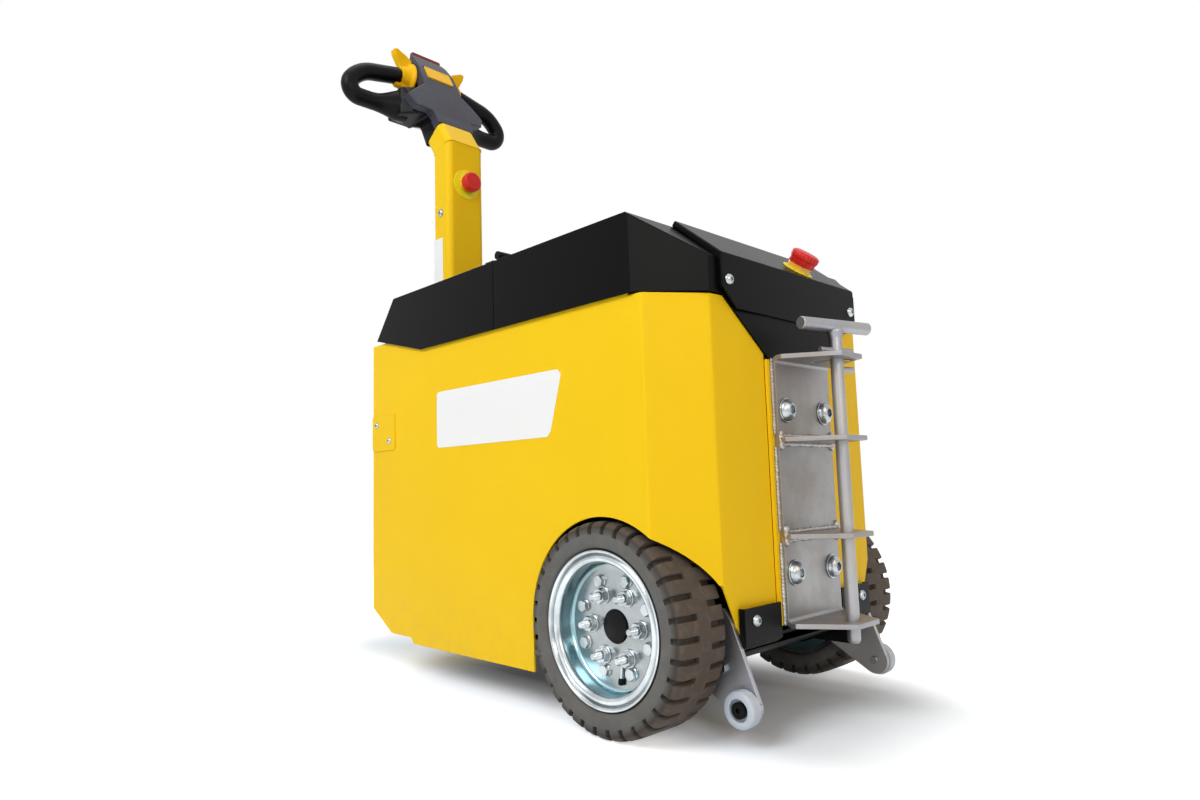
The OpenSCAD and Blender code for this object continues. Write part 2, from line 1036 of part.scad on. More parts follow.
// welded chassis
module chassis_frame() {
  color("dimgray") place() {
    both() {
      box([rail_rear_x, rail_in_y, rail_low], [rail_front_x, rail_out_y, rail_top]);
      box([-saddle_half, rail_in_y, rail_top], [saddle_half, rail_out_y, axle_z - tube_r]);
      box([post_x, post_in_y, rail_top + base_t], [post_x + post_w, post_in_y + post_w, shelf_z]);
      box(
        [upright_x, upright_in_y, upright_low],
        [front_x - front_plate_t - tiny_gap, upright_in_y + upright_t, backing_top]
      );
      box([upright_x, upright_in_y, rail_top + base_t], [cross_front_x, upright_in_y + upright_t, upright_low]);
    }
    box([base_rear_x, -base_half_w, rail_top], [base_front_x, base_half_w, rail_top + base_t]);
    box([cross_rear_x, -rail_out_y, rail_top], [cross_front_x, rail_out_y, rail_top + base_t]);
    box([shelf_rear_x, -shelf_half_w, shelf_z], [shelf_front_x, shelf_half_w, shelf_z + shelf_t]);
  }
}

module wheel_housings() {
  color("black") place()
    both()
      difference() {
        intersection() {
          union() {
            xz(housing_in_y, body_half_w - sheet - tiny_gap)
              difference() {
                translate([arch_x, axle_z])
                  circle(r = housing_r + housing_t);
                translate([arch_x, axle_z])
                  circle(r = housing_r);
                translate([-far, -far])
                  square([far * 2, far + axle_z]);
              }
            xz(housing_in_y, housing_in_y + housing_t)
              intersection() {
                union() {
                  translate([arch_x, axle_z])
                    circle(r = housing_r + over / 10);
                  translate([housing_rear_x, housing_low])
                    square([far, axle_z - housing_low]);
                }
                translate([housing_rear_x, housing_low])
                  square([housing_front_x - housing_rear_x, far]);
              }
            box(
              [housing_rear_x, housing_in_y, housing_low],
              [housing_rear_x + housing_t, body_half_w - sheet - tiny_gap, axle_z + over]
            );
          }
          xy(0, far)
            polygon([
              [-far, 0],
              [-far, in_b1[1] - tiny_gap],
              [in_b1[0] - tiny_gap * 2, in_b1[1] - tiny_gap],
              [in_b2[0] - over, in_b2[1] - tiny_gap * 2],
              [housing_front_x, 0]
            ]);
        }
        translate([0, 0, axle_z])
          rod_y(housing_hole_r, housing_in_y - over, housing_in_y + over);
      }
}

// drive train
module transaxle() {
  color("silver") place()
    difference() {
      union() {
        xz(box_y_right, box_y_left)
          translate([0, (box_low + box_top) / 2])
            round_rect(box_half_x * 2, box_top - box_low, box_corner_r);
        translate([0, 0, axle_z])
          rod_y(tube_r, -tube_end_y, tube_end_y);
      }
      translate([0, 0, axle_z]) {
        rod_y(spindle_r + run_gap, spindle_in_y - gap, tube_end_y + over);
        rod_y(spindle_r + run_gap, -tube_end_y - over, -spindle_in_y + gap);
      }
    }
}

module drive_motor() {
  color("dimgray") place()
    translate([0, 0, motor_z]) {
      rod_y(motor_r, box_y_left, motor_end_y - motor_cap_h);
      rod_y(motor_cap_r, motor_end_y - motor_cap_h, motor_end_y);
    }
}

module parking_brake() {
  color("black") place()
    translate([0, 0, motor_z])
      rod_y(brake_r, brake_end_y, box_y_right);
}

// electrics
module batteries() {
  color("darkslategray") place()
    both() {
      box(
        [battery_rear_x, battery_in_y, battery_low],
        [battery_rear_x + battery_len, battery_in_y + battery_w, battery_low + battery_h]
      );
      for (x = [battery_rear_x + post_inset, battery_rear_x + battery_len - post_inset])
        translate([x, battery_in_y + post_inset, battery_low + battery_h])
          cylinder(r = post_r, h = post_h);
    }
}

module battery_tray() {
  x1 = battery_rear_x - tray_wall - gap;
  x2 = battery_rear_x + battery_len + tray_wall + gap;
  y2 = battery_in_y + battery_w + tray_wall + gap;
  z1 = rail_top + base_t;
  color("dimgray") place()
    difference() {
      box([x1, -y2, z1], [x2, y2, z1 + tray_lip]);
      box(
        [x1 + tray_wall, -y2 + tray_wall, battery_low],
        [x2 - tray_wall, y2 - tray_wall, z1 + tray_lip + over]
      );
    }
}

module motor_controller() {
  z1 = shelf_z + shelf_t;
  color("black") place() {
    box([ctrl_x, -ctrl_w / 2, z1], [ctrl_x + ctrl_len, ctrl_w / 2, z1 + ctrl_h]);
    for (i = [0 : fin_count - 1])
      translate([ctrl_x, -ctrl_w / 2 + (i + 1 / 2) * ctrl_w / fin_count - fin_t / 2, z1 + ctrl_h])
        cube([ctrl_len, fin_t, fin_h]);
  }
}

module main_contactor() {
  color("black") place()
    translate([ctrl_x + contactor_r, contactor_y, shelf_z + shelf_t])
      cylinder(r = contactor_r, h = contactor_h);
}

module charge_socket() {
  color("black") place()
    translate([0, socket_y, socket_z])
      difference() {
        union() {
          rod_x(socket_r, -body_rear - socket_t, -body_rear);
          rod_x(socket_body_r, -body_rear - socket_t, -body_rear + socket_depth);
        }
        rod_x(socket_body_r - sheet, -body_rear - socket_t - over, -body_rear + socket_depth - sheet);
      }
}

// side plates
module access_plates() {
  w = access_x2 - access_x1;
  h = access_z2 - access_z1;
  color("gold") place()
    both()
      translate([(access_x1 + access_x2) / 2, 0, (access_z1 + access_z2) / 2])
        xz(body_half_w, body_half_w + access_t)
          round_rect(w, h, access_corner_r);
}

module label_plates() {
  r = label_corner_r;
  color("white") place()
    both() {
      xz(body_half_w, body_half_w + label_t) {
        polygon([
          [label_x1 + r, label_z1],
          [label_x3 - r, label_z1],
          [label_x3, label_z1 + r],
          [label_x2, label_z2 - r],
          [label_x2 - r, label_z2],
          [label_x1 + r, label_z2],
          [label_x1, label_z2 - r],
          [label_x1, label_z1 + r]
        ]);
        translate([label_x1 + r, label_z1 + r])
          circle(r = r);
        translate([label_x1 + r, label_z2 - r])
          circle(r = r);
      }
      xz(column_w / 2, column_w / 2 + label_t)
        polygon([
          [strip_x1, strip_z1],
          [strip_x2, strip_z1],
          [strip_x2, strip_z2],
          [strip_x1, strip_z2]
        ]);
    }
}

// socket head screws of the sheets and the roller arms
module body_screws() {
  color("silver") place() {
    hood_bolt_places()
      small_bolt(panel_x, apron_back_x + over * 2);
    both() {
      translate([0, tab_bolt_y, tab_bolt_z])
        small_bolt(tab_x + tab_t, wedge_x + over * 2);
      for (p = [
        [access_x1 + screw_inset, access_z2 - screw_inset],
        [access_x2 - screw_inset, access_z1 + screw_inset]
      ])
        translate([p[0], body_half_w + access_t, p[1]])
          rotate([-90, 0, 0])
            difference() {
              cylinder(r = screw_head_r, h = screw_head_h);
              translate([0, 0, screw_head_h / 2])
                cylinder(r = screw_hex_r, h = screw_head_h, $fn = 6);
            }
      for (x = [boss_rear_x, boss_front_x])
        translate([x, 0, boss_z])
          rod_y(arm_head_r, arm_in_y + arm_t, arm_in_y + arm_t + arm_head_h);
    }
  }
}

// roller arms, rollers
module roller_arms() {
  color("gray") place()
    both()
      difference() {
        union() {
          xz(arm_in_y, arm_in_y + arm_t) {
            polygon([
              [arm_rear_x, arm_rear_z],
              [arm_low_x, arm_low_z],
              [arm_tan_x, arm_tan_z],
              [arm_front_x, arm_front_z],
              [arm_top_x, arm_top_z],
              [arm_rear_x, arm_top_z]
            ]);
            translate([roller_x, roller_z])
              circle(r = arm_end_r);
          }
          for (x = [boss_rear_x, boss_front_x])
            translate([x, 0, boss_z])
              rod_y(boss_r, rail_out_y, arm_in_y);
        }
        translate([roller_x, 0, roller_z])
          rod_y(roller_axle_r + run_gap, 0, far);
      }
}

roller_in_y = arm_in_y + arm_t + roller_gap;
roller_out_y = roller_in_y + roller_w;

module roller(s) {
  color("white") place()
    side(s)
      translate([roller_x, 0, roller_z])
        difference() {
          rod_y(roller_r, roller_in_y, roller_out_y);
          rod_y(roller_axle_r + run_gap, 0, far);
          rod_y(roller_dish_r, roller_out_y - roller_head_h - gap, roller_out_y + over);
        }
}

module roller_axles() {
  color("black") place()
    both()
      translate([roller_x, 0, roller_z])
        difference() {
          union() {
            rod_y(roller_axle_r, arm_in_y - over, roller_out_y - roller_head_h);
            rod_y(roller_head_r, roller_out_y - roller_head_h, roller_out_y + gap);
          }
          translate([0, roller_out_y - roller_head_h / 2, 0])
            rotate([-90, 0, 0])
              cylinder(r = small_hex_r, h = over * 2, $fn = 6);
        }
}

// castor
module castor_plate() {
  color("silver") place()
    translate([castor_x, 0, rail_top - castor_plate_t])
      difference() {
        translate([-castor_plate_half, -castor_plate_half, 0])
          cube([castor_plate_half * 2, castor_plate_half * 2, castor_plate_t]);
        translate([0, 0, -over])
          cylinder(r = kingpin_r + run_gap, h = far);
      }
}

module castor_fork() {
  wheel_x = castor_x - castor_trail;
  color("silver") place() {
    translate([castor_x, 0, castor_disc_low])
      cylinder(r = castor_disc_r, h = rail_top - castor_plate_t - swivel_gap - castor_disc_low);
    translate([castor_x, 0, castor_disc_low])
      cylinder(r = kingpin_r, h = rail_top - gap - castor_disc_low);
    both()
      xz(fork_in_y, fork_in_y + fork_t) {
        polygon([
          [castor_x - fork_half, castor_disc_low],
          [castor_x + fork_half, castor_disc_low],
          [wheel_x + fork_end_r, castor_r],
          [wheel_x - fork_end_r, castor_r]
        ]);
        translate([wheel_x, castor_r])
          circle(r = fork_end_r);
      }
    translate([wheel_x, 0, castor_r])
      rod_y(castor_axle_r, -fork_in_y - fork_t - gap, fork_in_y + fork_t + gap);
  }
}

module castor_wheel() {
  color("dimgray") place()
    translate([castor_x - castor_trail, 0, castor_r])
      difference() {
        rod_y(castor_r, -castor_w / 2, castor_w / 2);
        rod_y(castor_axle_r + run_gap, -far, far);
      }
}

// drive wheels
module ring_at(r, n, turn) {
  for (i = [0 : n - 1])
    rotate([0, turn + i * 360 / n, 0])
      translate([r, 0, 0])
        children();
}

module tyre(s) {
  h = tyre_w / 2;
  half = [
    [bead_r, 0],
    [bead_r, h - bead_inset],
    [rim_r + tiny_gap, h - bead_inset],
    [rim_r + tiny_gap, h - lip_in],
    [lip_r, h],
    [shoulder_r, h],
    [shoulder_mid_r, h - shoulder_mid_in],
    [tyre_r, h - shoulder_top_in]
  ];
  color("dimgray") place()
    side(s)
      translate([0, 0, axle_z])
        difference() {
          translate([0, tyre_mid_y, 0])
            spin_y()
              polygon(concat(half, mirror_pts(half)));
          ring_at(0, lug_count, 0)
            translate([tyre_r - lug_depth, tyre_out_y - lug_len, -lug_gap_w / 2])
              cube([lug_depth + over, lug_len + over, lug_gap_w]);
          ring_at(0, lug_count, 180 / lug_count)
            translate([tyre_r - lug_depth, tyre_in_y - over, -lug_gap_w / 2])
              cube([lug_depth + over, lug_len + over, lug_gap_w]);
        }
}

module rim(s) {
  color("silver") place()
    side(s)
      translate([0, 0, axle_z])
        difference() {
          union() {
            spin_y()
              polygon([
                [barrel_in_r, rim_inner_lip_y],
                [barrel_in_r, rim_ring_low_y],
                [barrel_in_r + rim_t, rim_ring_y],
                [rim_ring_r, rim_ring_y],
                [rim_ring_r + rim_t / 2, rim_lip_y],
                [rim_r, rim_lip_y],
                [rim_r, rim_lip_y - rim_lip_t],
                [rim_ring_r + rim_t, rim_lip_y - rim_lip_t],
                [rim_ring_r + rim_t, rim_ring_low_y],
                [barrel_r, rim_ring_low_y],
                [barrel_r, tyre_in_y + bead_inset - tiny_gap],
                [rim_r - rim_t, tyre_in_y + bead_inset - tiny_gap],
                [rim_r - rim_t, rim_inner_lip_y]
              ]);
            spin_y()
              polygon([
                [rim_hole_r, rim_disc_y - rim_disc_t],
                [barrel_in_r + rim_t / 2, rim_disc_y - rim_disc_t],
                [barrel_in_r + rim_t / 2, rim_disc_y + rim_t],
                [barrel_in_r - rim_t, rim_disc_y],
                [rim_hole_r, rim_disc_y]
              ]);
            spin_y()
              polygon([
                [rim_joint_r, rim_disc_y - rim_disc_t * 2],
                [barrel_in_r + rim_t / 2, rim_disc_y - rim_disc_t * 2],
                [barrel_in_r + rim_t / 2, rim_disc_y - rim_disc_t],
                [rim_joint_r, rim_disc_y - rim_disc_t]
              ]);
          }
          ring_at(stud_pcd_r, stud_count, 0)
            rod_y(stud_hole_r, rim_disc_y - over * 2, rim_disc_y + over);
        }
}

module wheel_hub(s) {
  face = rim_disc_y - rim_disc_t;
  color("gray") place()
    side(s)
      translate([0, 0, axle_z]) {
        rod_y(spindle_r, spindle_in_y, hub_in_y);
        rod_y(hub_barrel_r, hub_in_y, face - hub_flange_t);
        rod_y(hub_flange_r, face - hub_flange_t, face);
        intersection() {
          rod_y(cap_r, face - over, rim_disc_y + cap_h + over);
          translate([0, rim_disc_y + cap_h - cap_dome_r, 0])
            sphere(r = cap_dome_r);
        }
      }
}

module wheel_fasteners(s) {
  face = rim_disc_y - rim_disc_t;
  color("silver") place()
    side(s)
      translate([0, 0, axle_z]) {
        ring_at(stud_pcd_r, stud_count, 0) {
          rod_y(stud_r, face, stud_tip_y);
          translate([0, rim_disc_y, 0])
            rotate([-90, 0, 0])
              cylinder(r = nut_r, h = nut_h, $fn = 6);
        }
        ring_at(rim_bolt_pcd_r, rim_bolt_count, rim_bolt_turn)
          translate([0, rim_disc_y, 0])
            rotate([-90, 0, 0])
              cylinder(r = rim_bolt_r, h = rim_bolt_h, $fn = 6);
      }
}

// tiller column
module column_section(w, d, r) {
  translate([-column_front - column_d / 2, 0])
    round_rect(d, w, r);
}

module at_kink() {
  translate([-column_front, 0, column_kink_z])
    rotate([0, -column_lean, 0])
      translate([column_front, 0, -column_kink_z])
        children();
}

mitre_run = far / 2 * [cos(column_lean / 2), sin(column_lean / 2)];
mitre_mid = [-column_front, column_kink_z];
mitre_over = 1;
bead = 0.8;
bead_w = 3;

module column_lower(w, d, r, lo, past) {
  intersection() {
    xy(lo, column_kink_z + far)
      column_section(w, d, r);
    xz(-far, far)
      polygon([
        mitre_mid - mitre_run + [0, past],
        [-column_front - far / 2, 0],
        [-column_front + far / 2, 0],
        mitre_mid + mitre_run + [0, past]
      ]);
  }
}

module column_upper(w, d, r, hi, past) {
  intersection() {
    at_kink()
      xy(column_kink_z - far / 2, hi)
        column_section(w, d, r);
    xz(-far, far)
      polygon([
        mitre_mid - mitre_run - [0, past],
        mitre_mid + mitre_run - [0, past],
        [-column_front + far / 2, column_kink_z + far],
        [-column_front - far / 2, column_kink_z + far]
      ]);
  }
}

module at_tiller_stop() {
  translate([-column_front, 0, tiller_stop_z])
    rotate([0, 90, 0])
      children();
}

module mitre_bead() {
  slant = column_d / cos(column_lean / 2);
  translate([-column_front, 0, column_kink_z])
    rotate([0, -column_lean / 2, 0])
      translate([-slant / 2, 0, -bead_w / 2])
        linear_extrude(height = bead_w)
          round_rect(slant + 2 * bead, column_w + 2 * bead, column_corner_r);
}

module tiller_column() {
  wall = [column_wall, column_wall_top];
  in_w = [for (t = wall) column_w - 2 * t];
  in_d = [for (t = wall) column_d - 2 * t];
  in_r = [for (t = wall) column_corner_r - t];
  color("gold") place()
    difference() {
      union() {
        column_lower(column_w, column_d, column_corner_r, column_low, 0);
        column_upper(column_w, column_d, column_corner_r, column_kink_z + column_top_len, 0);
        mitre_bead();
      }
      column_lower(in_w[0], in_d[0], in_r[0], column_low - over, mitre_over);
      column_upper(in_w[1], in_d[1], in_r[1], column_kink_z + column_top_len + over, mitre_over);
      at_tiller_stop()
        cylinder(r = stop_neck_hole, h = column_wall * 4, center = true);
      translate([column_bolt_x, 0, column_bolt_z])
        rod_y(small_bolt_r + tiny_gap, -far, far);
    }
}

module column_post() {
  w = column_w - 2 * column_wall - gap * 2;
  d = column_d - 2 * column_wall - gap * 2;
  color("black") place()
    difference() {
      xy(post_low_z, post_top_z)
        column_section(w, d, column_corner_r - column_wall - gap);
      xy(post_low_z - over, post_top_z + over)
        column_section(w - 2 * post_wall, d - 2 * post_wall, column_corner_r - column_wall * 2 - gap);
      for (z = [column_bolt_z, tiller_bolt_low, tiller_bolt_high])
        translate([column_bolt_x, 0, z])
          rod_y(small_bolt_r + tiny_gap, -far, far);
    }
}

module tiller_bracket() {
  in_y = column_w / 2 - column_wall - gap;
  color("black") place()
    difference() {
      union() {
        box([-body_rear - arm_plate_t, -arm_foot_half, arm_foot_low], [-body_rear, arm_foot_half, arm_foot_top]);
        both()
          xz(in_y, in_y + arm_plate_t)
            polygon([
              [-body_rear - over / 2, arm_plate_low],
              [-arm_plate_rear, arm_plate_low],
              [-arm_plate_rear, arm_plate_top],
              [-body_rear - over / 2, arm_plate_top]
            ]);
      }
      for (z = [tiller_bolt_low, tiller_bolt_high])
        translate([column_bolt_x, 0, z])
          rod_y(small_bolt_r + tiny_gap, -far, far);
    }
}

module cross_bolt(half) {
  rod_y(small_bolt_r, -half, half);
  both()
    difference() {
      rod_y(small_head_r, half, half + small_head_h);
      translate([0, half + small_head_h / 2, 0])
        rotate([-90, 0, 0])
          cylinder(r = small_hex_r, h = over, $fn = 6);
    }
}

module column_bolts() {
  color("silver") place() {
    translate([column_bolt_x, 0, column_bolt_z])
      cross_bolt(column_w / 2);
    for (z = [tiller_bolt_low, tiller_bolt_high])
      translate([column_bolt_x, 0, z])
        cross_bolt(column_w / 2 - column_wall - gap + arm_plate_t);
  }
}

// emergency stops, drawn along their own axis
module stop_disc(r) {
  difference() {
    cylinder(r = r, h = stop_disc_t);
    translate([0, 0, -over])
      cylinder(r = stop_neck_hole, h = over * 3);
  }
}

module stop_discs() {
  color("yellow") place() {
    at_front_stop()
      stop_disc(stop_disc_small);
    at_tiller_stop()
      stop_disc(stop_disc_big);
  }
}

module stop_base() {
  difference() {
    union() {
      translate([0, 0, stop_disc_t])
        cylinder(r = stop_collar_r, h = stop_collar_h - stop_disc_t);
      translate([0, 0, -stop_neck_len])
        cylinder(r = stop_neck_r, h = stop_neck_len + stop_collar_h);
      translate([-stop_block / 2, -stop_block / 2, -stop_neck_len - stop_block_h])
        cube([stop_block, stop_block, stop_block_h]);
    }
    translate([0, 0, -stop_stem_len - stop_travel - gap])
      cylinder(r = stop_stem_r + run_gap, h = far / 4);
  }
}

module stop_bases() {
  color("goldenrod") place() {
    at_front_stop()
      stop_base();
    at_tiller_stop()
      stop_base();
  }
}

module stop_head() {
  difference() {
    union() {
      translate([0, 0, stop_collar_vis])
        cylinder(r = stop_skirt_r, h = stop_skirt_h);
      intersection() {
        translate([0, 0, stop_collar_vis + stop_skirt_h])
          cylinder(r = stop_r, h = stop_h + over);
        translate([0, 0, stop_collar_vis + stop_skirt_h + stop_h + stop_travel / 2 - stop_dome_r])
          sphere(r = stop_dome_r);
      }
    }
    difference() {
      cylinder(r = stop_collar_r + stop_cup_gap, h = stop_cup_top);
      translate([0, 0, -over])
        cylinder(r = stop_stem_r, h = far / 4);
    }
    for (i = [0 : rib_count - 1])
      rotate([0, 0, i * 360 / rib_count])
        translate([stop_r + rib_r / 2, 0, stop_collar_vis + stop_skirt_h + rib_r])
          cylinder(r = rib_r, h = stop_h - rib_r);
  }
  translate([0, 0, -stop_stem_len])
    cylinder(r = stop_stem_r, h = stop_stem_len + stop_cup_top);
}

module front_stop_head() {
  color("red") place()
    at_front_stop()
      stop_head();
}

module tiller_stop_head() {
  color("red") place()
    at_tiller_stop()
      stop_head();
}

// tiller head: side outlines in shares of its height, measured from the column's top front edge
front_shares = [
  [0, 0], [-0.058, 0.115], [-0.138, 0.293], [-0.278, 0.592], [-0.368, 0.748], [-0.475, 0.88], [-0.549, 0.948]
];
back_shares = [
  [-0.591, 0.82], [-0.54, 0.77], [-0.468, 0.678], [-0.372, 0.54], [-0.232, 0.25], [-0.172, 0.112]
];
seat_share = 0.0985;
tail_share = 0.33;
rear_shares = [
  [-0.31, -0.135], [-0.43, 0.03], [-0.578, 0.205], [-0.591, 0.4], [-0.591, 0.75]
];

function flipped(pts) = [for (i = [len(pts) - 1 : -1 : 0]) [-pts[i][0], pts[i][1]]];
function front_pts(shares) = [for (p = shares) [0, head_z0] + p * head_h];
function plan_pts(shares) = [for (p = shares) [head_x0, 0] + p * head_h];
function hub_pts(shares) = [for (p = shares) [0, hub_z] + p * head_h];
function head_pts(shares) = [for (p = shares) [head_x0, head_z0] + p * head_h];
seat_dir = [-cos(column_lean), -sin(column_lean)];
seat_front = [head_x0, head_z0] + seat_dir * seat_share * head_h;
seat_tail = [head_x0, head_z0] + seat_dir * tail_share * head_h;

// front outline of the shell: half widths and heights in shares of the head
shell_shares = [
  [0.2095, -0.1996], [0.2095, 0.0765], [0.219, 0.1337], [0.381, 0.1527], [0.4381, 0.267],
  [0.3619, 0.3527], [0.2857, 0.4289], [0.219, 0.4813], [0.2167, 0.6575], [0.2048, 0.8194],
  [0.181, 1.0384]
];
belly_half_y = 36;
belly_back = 17;
belly_t = 8;
belly_up = 16;
belly_h = 56.5;
belly_rear_x = hub_x - belly_back;
belly_front_x = belly_rear_x + belly_t;
belly_low = hub_z + belly_up;
belly_top = belly_low + belly_h;
belly_travel = 3;
pocket_gap = 0.4;
horn_ahead = 40.5;
horn_up = 6.7;
horn_x = hub_x + horn_ahead;
horn_z = hub_z + horn_up;
horn_turn = 58.8;
horn_half_l = 19;
horn_half_w = 31.5;
horn_rise = 1.5;
horn_sink = 4;
horn_travel = 1.5;

module at_horn() {
  translate([horn_x, 0, horn_z])
    rotate([0, horn_turn, 0])
      children();
}

module belly_pocket() {
  box(
    [belly_rear_x - over, -belly_half_y - pocket_gap, belly_low - pocket_gap],
    [belly_front_x + belly_travel + pocket_gap, belly_half_y + pocket_gap, belly_top + over]
  );
}

module head_shell() {
  color("slategray") place()
    difference() {
      intersection() {
        xz(-far, far)
          polygon(concat([seat_front], head_pts(front_shares), head_pts(back_shares)));
        yz(-far * 2, 0)
          polygon(concat(front_pts(shell_shares), front_pts(flipped(shell_shares))));
      }
      belly_pocket();
      at_horn()
        translate([-horn_half_l - pocket_gap, -horn_half_w - pocket_gap, -horn_sink - horn_travel - gap])
          cube([(horn_half_l + pocket_gap) * 2, (horn_half_w + pocket_gap) * 2, far / 4]);
    }
}

// lower arm outline: half widths and heights, and its plan, in shares of the head
arm_front_shares = [
  [0, 0.0051], [0.2048, 0.0384], [0.2857, 0.0765], [0.4381, 0.1337], [0.5952, 0.1908],
  [0.7143, 0.2099], [0.7143, 0.3194], [0.5762, 0.3527], [0.4381, 0.4099], [0.2857, 0.467],
  [0.2048, 0.4861], [0, 0.4861]
];
arm_plan_shares = [
  [-0.5914, -0.0048], [-0.5914, 0.5952], [-0.5771, 0.7143], [-0.4533, 0.7143], [-0.4342, 0.5952],
  [-0.339, 0.4381], [-0.2247, 0.3333], [-0.1628, 0.2381], [-0.1295, 0.2048], [-0.1295, -0.0048]
];

module arm_solid() {
  intersection() {
    yz(-far * 2, 0)
      polygon(front_pts(arm_front_shares));
    xy(0, far * 4)
      polygon(plan_pts(arm_plan_shares));
  }
}

module shell_keepout() {
  xz(-far, far)
    polygon(concat([seat_front], head_pts([for (p = front_shares) p + [1, 0]]), head_pts(back_shares)));
}

module head_base() {
  color("black") place()
    difference() {
      union() {
        xz(-spine_half, spine_half)
          polygon(concat(
            [seat_front, seat_tail],
            head_pts(rear_shares),
            head_pts(back_shares)
          ));
        both()
          intersection() {
            arm_solid();
            box([-far * 2, spine_half - over, 0], [0, arm_root_y, far * 4]);
          }
      }
      shell_keepout();
      belly_pocket();
    }
}

// handle loop: a straight grip, two arcs round the tip and a straight lower run
loop_tilt = 12;
loop_r1 = 75;
loop_r2 = 21;
loop_turn1 = 43;
loop_c2_y = 164;
loop_drop = 57.5;
loop_c2_z = hub_z - loop_drop;
core_r = 12;
loop_seam = 0.3;
loop_seam_w = 1;
paddle_in_y = 46.5;
paddle_out_y = 73;
grip_start_y = 75;
function loop_n(h) = [-sin(h), cos(h)];
loop_c2 = [loop_c2_y, loop_c2_z];
loop_c1 = loop_c2 - (loop_r1 - loop_r2) * loop_n(-loop_tilt - loop_turn1);
loop_s1 = loop_c1 + loop_r1 * loop_n(-loop_tilt);
loop_len = (loop_s1[0] - grip_start_y) / cos(loop_tilt);

module loop_arc(c, r, from, to) {
  translate([hub_x, c[0], c[1]])
    rotate([0, 90, 0])
      rotate([0, 0, 180])
        rotate([0, 0, to])
          rotate_extrude(angle = from - to)
            translate([r, 0])
              circle(r = grip_r);
}

module loop_ring(p, heading) {
  translate([hub_x, p[0], p[1]])
    rotate([heading - 90, 0, 0])
      cylinder(r = grip_r + loop_seam, h = loop_seam_w, center = true);
}

module handle_loop(s) {
  start = loop_s1 - loop_len * [cos(loop_tilt), -sin(loop_tilt)];
  color("black") place()
    side(s) {
      translate([hub_x, start[0], start[1]])
        rotate([-90 - loop_tilt, 0, 0])
          cylinder(r = grip_r, h = loop_len);
      loop_ring(loop_s1, -loop_tilt);
      loop_ring(loop_c2 + loop_r2 * loop_n(-loop_tilt - loop_turn1), -loop_tilt - loop_turn1);
      loop_arc(loop_c1, loop_r1, -loop_tilt, -loop_tilt - loop_turn1);
      loop_arc(loop_c2, loop_r2, -loop_tilt - loop_turn1, -180);
      translate([hub_x, 0, loop_c2_z - loop_r2])
        rod_y(grip_r, arm_root_y, loop_c2_y);
      intersection() {
        arm_solid();
        box([-far * 2, arm_root_y, 0], [0, loop_c2_y, far * 4]);
      }
      translate([hub_x, 0, hub_z])
        rod_y(core_r, spine_half, grip_start_y + over);
    }
}

// paddles: a flared hub with an ear above and a lip below
ear_shares = [
  [0.2238, 0], [0.2238, 0.181], [0.2857, 0.219], [0.381, 0.2619], [0.419, 0.2524], [0.4095, 0.2048],
  [0.3619, 0.1381], [0.3476, 0.0667], [0.3476, 0]
];
lip_shares = [
  [0.2238, 0], [0.3476, 0], [0.3524, -0.0762], [0.4095, -0.1286], [0.4, -0.1476], [0.3143, -0.1571],
  [0.2381, -0.1381]
];
ear_half_t = 9;

module paddle(s) {
  color("gold") place()
    side(s)
      difference() {
        union() {
          translate([hub_x, 0, hub_z])
            rod_y(hub_r, paddle_in_y, paddle_out_y);
          yz(hub_x - ear_half_t, hub_x + ear_half_t)
            polygon(hub_pts(ear_shares));
          yz(hub_x - ear_half_t, hub_x + ear_half_t)
            polygon(hub_pts(lip_shares));
        }
        translate([hub_x, 0, hub_z])
          rod_y(core_r + tiny_gap, 0, far);
        translate([hub_x, 0, 0])
          paddle_clear();
      }
}

module paddle_clear() {
  start = loop_s1 - loop_len * [cos(loop_tilt), -sin(loop_tilt)];
  translate([0, paddle_out_y + tiny_gap, start[1]])
    rotate([-90 - loop_tilt, 0, 0])
      translate([0, 0, -over / 10])
        cylinder(r = grip_r + over / 4, h = far / 8);
}

module belly_button() {
  color("darkred") place()
    box([belly_rear_x, -belly_half_y, belly_low], [belly_front_x, belly_half_y, belly_top]);
}

module horn_button() {
  color("gold") place()
    at_horn()
      translate([-horn_half_l, -horn_half_w, -horn_sink])
        cube([horn_half_l * 2, horn_half_w * 2, horn_sink + horn_rise]);
}

module place() {
  translate([axle_x, 0, 0])
    children();
}

// left and right hand pieces
module side_panel_left() {
  side_panel(1);
}
module side_panel_right() {
  side_panel(-1);
}
module roller_left() {
  roller(1);
}
module roller_right() {
  roller(-1);
}
module tyre_left() {
  tyre(1);
}
module tyre_right() {
  tyre(-1);
}
module rim_left() {
  rim(1);
}
module rim_right() {
  rim(-1);
}
module wheel_hub_left() {
  wheel_hub(1);
}
module wheel_hub_right() {
  wheel_hub(-1);
}
module wheel_fasteners_left() {
  wheel_fasteners(1);
}
module wheel_fasteners_right() {
  wheel_fasteners(-1);
}
module handle_loop_left() {
  handle_loop(1);
}
module handle_loop_right() {
  handle_loop(-1);
}
module paddle_left() {
  paddle(1);
}
module paddle_right() {
  paddle(-1);
}

